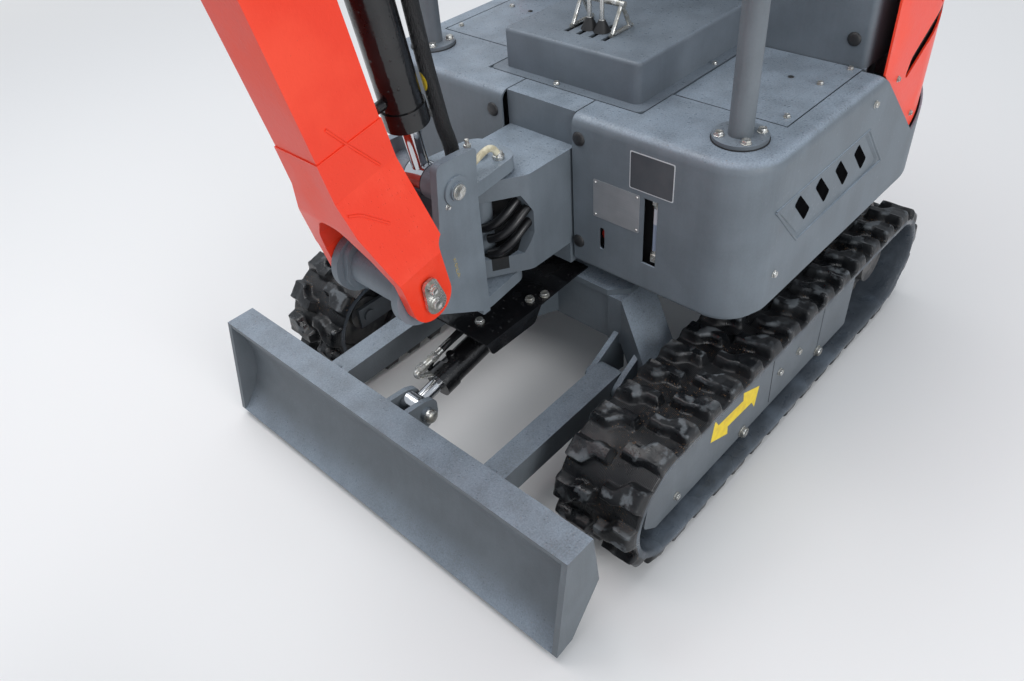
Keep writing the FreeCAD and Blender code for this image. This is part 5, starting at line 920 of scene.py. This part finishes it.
# The swing post is welded plate on the nose's vertical pin, in the same coat. The post carries the boom's foot
# and its cylinder on turned steel pins with zinc caps.
post_grey = powder_coat("swing_post_coat", (0.150, 0.178, 0.205), grain=0.8, wet=0.8, gloss=0.42)
dress(post_grey, "swing_post", "rocker", "bucket_link")
pin_cap = turned([(-0.0015, 0.0100, 0), (-0.0015, 0.0138, 0), (0.0022, 0.0138, 0), (0.0030, 0.0130, 0), (0.0030, 0.0050, 0),
                  (0.0022, 0.0034, 0)], 32)
caps = []
for side in (1, -1):
    spot, facing = landed("swing_post", at(0.515, side * 0.3, 0.677), (0, -side, 0))
    caps.append((spot, facing, 1.0))
fixed("cylinder_pin_caps", copies(pin_cap, caps), zinc, "swing_bracket")
keeper = []
for side in (1, -1):
    spot, facing = landed("swing_post", at(0.536, side * 0.3, 0.655), (0, -side, 0))
    keeper.append((spot, facing, 0.5))
fixed("cylinder_pin_keepers", copies(hex_bolt, keeper), zinc, "swing_bracket")

# The assembler's wax crayon left a short yellow stroke on the post's left plate.
crayon, crayon_entries, crayon_place = new_finish("wax_crayon", (0.50, 0.38, 0.12), 0.7)
joined(crayon_entries["Base Color"], crayon_place.noise(90.0).colours((0.42, 0.32, 0.10), (0.62, 0.50, 0.22)))
joined(crayon_entries["Alpha"], crayon_place.noise(420.0, 3.0).over(0.46, 0.60) * 0.75)
crayon_spot, _ = landed("swing_post", at(0.5342, 0.30, 0.530), (0, -1, 0))
fixed("crayon_stroke", flat_plate([(-0.006, 0.022), (-0.001, 0.023), (0.003, 0.008), (0.006, -0.020), (0.001, -0.023), (-0.003, -0.006)],
                                  0.0003, crayon_spot, (-1, 0, 0), (0, 0, 1)), crayon, "swing_bracket")

# A bolt holds each drop-shaped lock plate of the boom's foot pin, beside the pin's centre-drilled end.
lock_bolts = []
for side in (1, -1):
    for x, z, size in ((0.628, 0.533, 1.05), (0.634, 0.566, 0.72)):
        spot, facing = landed("boom_pin_locks", at(x, side * 0.3, z), (0, -side, 0))
        lock_bolts.append((spot, facing, size))
fixed("lock_plate_bolts", copies(hex_bolt, lock_bolts), zinc, "boom")
dress(zinc, "boom_pin_locks")

# The boom and the arm are welded box sections of plate in gloss red, with weld beads along their seams.
red_enamel, enamel_entries, enamel_place = new_finish("red_enamel", (0.93, 0.058, 0.022), 0.30)
wet_red(enamel_entries, enamel_place, dust=0.25)
dress(red_enamel, "boom", "arm")


def bead(points, radius=0.0030, sides=8):
    """A weld bead: a thin tube along straight runs whose radius ripples by a sine of the distance along it."""
    line = np.array([list(p) for p in points])
    length = np.concatenate([[0], np.cumsum(np.linalg.norm(np.diff(line, axis=0), axis=1))])
    place = np.arange(0, length[-1], 0.0028)
    run = np.stack([np.interp(place, length, line[:, axis]) for axis in range(3)], axis=1)
    ahead = np.gradient(run, axis=0)
    ahead /= np.linalg.norm(ahead, axis=1, keepdims=True)
    one = np.cross(ahead, (0.0, 1.0, 0.0))
    one /= np.linalg.norm(one, axis=1, keepdims=True)
    two = np.cross(one, ahead)
    angle = np.linspace(0, 2 * np.pi, sides, endpoint=False)[None, :, None]
    wide = (radius * (1 + 0.10 * np.sin(place * 2 * np.pi / 0.0056)))[:, None, None]
    grid = run[:, None, :] + wide * (one[:, None, :] * np.cos(angle) + two[:, None, :] * np.sin(angle))
    points, faces = skin(grid, ring_v=True)
    last = len(points) - sides
    return points, faces.tolist() + [list(range(sides)), list(range(last, last + sides))]


weld_runs = []
for side in (1, -1):
    for run in (((0.7167, 0.8615), (0.690, 0.830), (0.6389, 0.7729)), ((0.660, 0.690), (0.700, 0.720), (0.750, 0.735))):
        run_points = []
        for (x0, z0), (x1, z1) in zip(run[:-1], run[1:]):
            for t in np.linspace(0, 1, 6)[: -1 if (x1, z1) != run[-1] else None]:
                hit, spot, _, _ = nodes["boom"].ray_cast(at(x0 + (x1 - x0) * t, side * 0.3, z0 + (z1 - z0) * t), Vector((0, -side, 0)),
                                                         depsgraph=view_layer)
                if hit:
                    run_points.append(spot)
        if len(run_points) > 2:
            weld_runs.append(bead(run_points, 0.0026))
fixed("boom_weld_beads", joined_forms(*weld_runs), red_enamel, "boom", sharp=60.0)

# The bucket is dark painted plate, bare and bright along the cutting edge and teeth; its rocker and link wear the swing
# post's coat.
bucket_coat, bucket_entries, bucket_place = new_finish("worn_bucket_coat", (0.05, 0.05, 0.053), 0.5, metallic=0.2)
bucket_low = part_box("bucket")[0].z
edge_share = 1.0 - bucket_place.node("ShaderNodeSeparateXYZ", {}, {"Vector": bucket_place}, output=2).over(bucket_low + 0.05, bucket_low + 0.14)
scuffs = bucket_place.noise(26.0, 5.0, (1.0, 0.4, 1.0)).over(0.46, 0.62)
bare = (edge_share * 0.8 + scuffs * 0.25).maths("MINIMUM", edge_share * 0.8 + scuffs * 0.25, 1.0)
joined(bucket_entries["Base Color"], bare.colours(bucket_place.noise(13.0, 4.0).colours((0.060, 0.062, 0.068), (0.105, 0.106, 0.112)),
                                                  (0.26, 0.24, 0.22)))
joined(bucket_entries["Metallic"], bare * 0.8)
joined(bucket_entries["Roughness"], 0.52 - bare * 0.18 + bucket_place.noise(200.0) * 0.08)
joined(bucket_entries["Normal"], bucket_place.node("ShaderNodeBump", {}, {"Height": scuffs * 0.0003 + bucket_place.noise(480.0, 2.0) * 0.0003, "Distance": 1.0}))
dress(bucket_coat, "bucket")

# Hydraulic hoses in a black woven sleeve leave the swing post, pass behind the boom's cylinder and follow the
# boom to its knee and on to the arm.
hose_cover, hose_entries, hose_place = new_finish("hose_sleeve", (0.012, 0.012, 0.013), 0.55)
weave = hose_place.node("ShaderNodeTexVoronoi", {"feature": "DISTANCE_TO_EDGE"}, {"Vector": hose_place, "Scale": 330.0, "Randomness": 0.15})
joined(hose_entries["Roughness"], 0.42 + weave * 0.3)
joined(hose_entries["Normal"], hose_place.node("ShaderNodeBump", {}, {"Height": weave.over(0.0, 0.25) * 0.0007, "Distance": 1.0}))
tape_spot = hose_place.node("ShaderNodeMapping", {"vector_type": "TEXTURE"}, {"Vector": hose_place, "Location": at(0.5045, 0.0170, 0.846),
                                                                          "Scale": (0.011, 0.0095, 0.018)})
tape_share = 1.0 - tape_spot.node("ShaderNodeVectorMath", {"operation": "LENGTH"}, {0: tape_spot}, output=1).over(0.90, 1.0)
joined(hose_entries["Base Color"], tape_share.colours(hose_place.noise(30.0, 3.0).colours((0.006, 0.006, 0.007), (0.018, 0.018, 0.019)),
                                                      (0.72, 0.50, 0.02)))
hose_low, _ = landed("swing_post", at(0.4560, 0.018, 0.80), (0, 0, -1))
hose_line = np.array([(hose_low.x - slew_x, 0.018, hose_low.z - 0.006), (0.4640, 0.0180, 0.7250), (0.4740, 0.0180, 0.7550), (0.4965, 0.0206, 0.8753),
                      (0.5189, 0.0265, 1.0190), (0.5225, 0.0282, 1.0459), (0.5481, 0.0425, 1.1655), (0.5520, 0.0449, 1.1790),
                      (0.5978, 0.0589, 1.2910), (0.6154, 0.0611, 1.3241), (0.6661, 0.0633, 1.3742), (0.7393, 0.0633, 1.4132),
                      (0.8427, 0.0633, 1.4698), (0.9712, 0.0633, 1.5528), (1.1016, 0.0633, 1.6550), (1.1695, 0.0633, 1.7111)])
hose_length = np.concatenate([[0], np.cumsum(np.linalg.norm(np.diff(hose_line, axis=0), axis=1))])
hose_knots = [at(*(np.interp(place, hose_length, hose_line[:, axis]) for axis in range(3))) for place in np.linspace(0, hose_length[-1], 72)]
sleeve_points, sleeve_faces = bent_tube(hose_knots, 0.0130, 20, 320)
hose_sleeve = new_mesh("boom_hose_sleeve", sleeve_points, sleeve_faces, hose_cover, 60.0)
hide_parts("boom_hoses")
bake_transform(hose_sleeve)
hose_nut = turned([(-0.004, 0.0100, 0), (-0.004, 0.0166, 0), (0.010, 0.0168, 1), (0.0112, 0.0160, 0), (0.0112, 0.0120, 0)], 36)
fixed("hose_sleeve_collar", copies(hose_nut, [(hose_low, (0.2, 0.0, 1.0), 1.0)]), moulded, "swing_bracket")

# A cream nylon grease line bridges the post's top, held by two bright fittings, with a grease nipple beside it.
cream, cream_entries, cream_place = new_finish("cream_nylon", (0.66, 0.60, 0.42), 0.36)
joined(cream_entries["Base Color"], cream_place.noise(60.0, 4.0).over(0.35, 0.65).colours((0.44, 0.39, 0.26), (0.74, 0.69, 0.52)))
front_foot, _ = landed("swing_post", at(0.4545, 0.040, 0.80), (0, 0, -1))
rear_foot, _ = landed("swing_post", at(0.3750, 0.040, 0.80), (0, 0, -1))
line_run = [front_foot, front_foot + Vector((-0.002, 0, 0.012)), front_foot + Vector((-0.018, 0, 0.018)), rear_foot + Vector((0.024, 0, 0.034)),
            rear_foot + Vector((0.006, 0, 0.020)), rear_foot + Vector((0.0, 0, 0.004)), rear_foot]
fixed("grease_line", bent_tube(line_run, 0.0062, 14, 60), cream, "swing_bracket", sharp=60.0)
union = turned([(-0.002, 0.0060, 0), (-0.002, 0.0100, 0), (0.0070, 0.0100, 1), (0.0080, 0.0088, 0), (0.0130, 0.0082, 0), (0.0136, 0.0070, 0)], 36)
nipple = turned([(-0.001, 0.0030, 0), (-0.001, 0.0062, 0), (0.0040, 0.0062, 1), (0.0046, 0.0040, 0), (0.0090, 0.0034, 0), (0.0105, 0.0042, 0),
                 (0.0130, 0.0040, 0), (0.0142, 0.0024, 0)], 24)
nipple_foot, _ = landed("swing_post", at(0.4660, 0.062, 0.80), (0, 0, -1))
fixed("grease_fittings", joined_forms(copies(union, [(front_foot, (0, 0, 1), 1.0), (rear_foot, (0, 0, 1), 1.0)]),
                                      copies(nipple, [(nipple_foot, (0, 0, 1), 1.0)])), zinc, "swing_bracket")

# Black hoses come forward through the nose's side window to the post's pin.
bare_hose, bare_entries, bare_place = new_finish("bare_hose", (0.010, 0.010, 0.011), 0.28)
joined(bare_entries["Roughness"], 0.24 + bare_place.noise(40.0, 3.0) * 0.18)
window_hoses = []
for side in (1, -1):
    for y, lift in ((0.070, 0.000), (0.052, 0.016), (0.068, -0.034), (0.050, -0.058)):
        window_hoses.append(bent_tube([at(0.318, side * y, 0.560 + lift), at(0.345, side * y, 0.556 + lift), at(0.375, side * y, 0.538 + lift),
                                       at(0.400, side * (y - 0.014), 0.516 + lift), at(0.408, side * (y - 0.040), 0.505 + lift)], 0.0088, 14, 40))
fixed("nose_hoses", joined_forms(*window_hoses), bare_hose, "house", sharp=60.0)
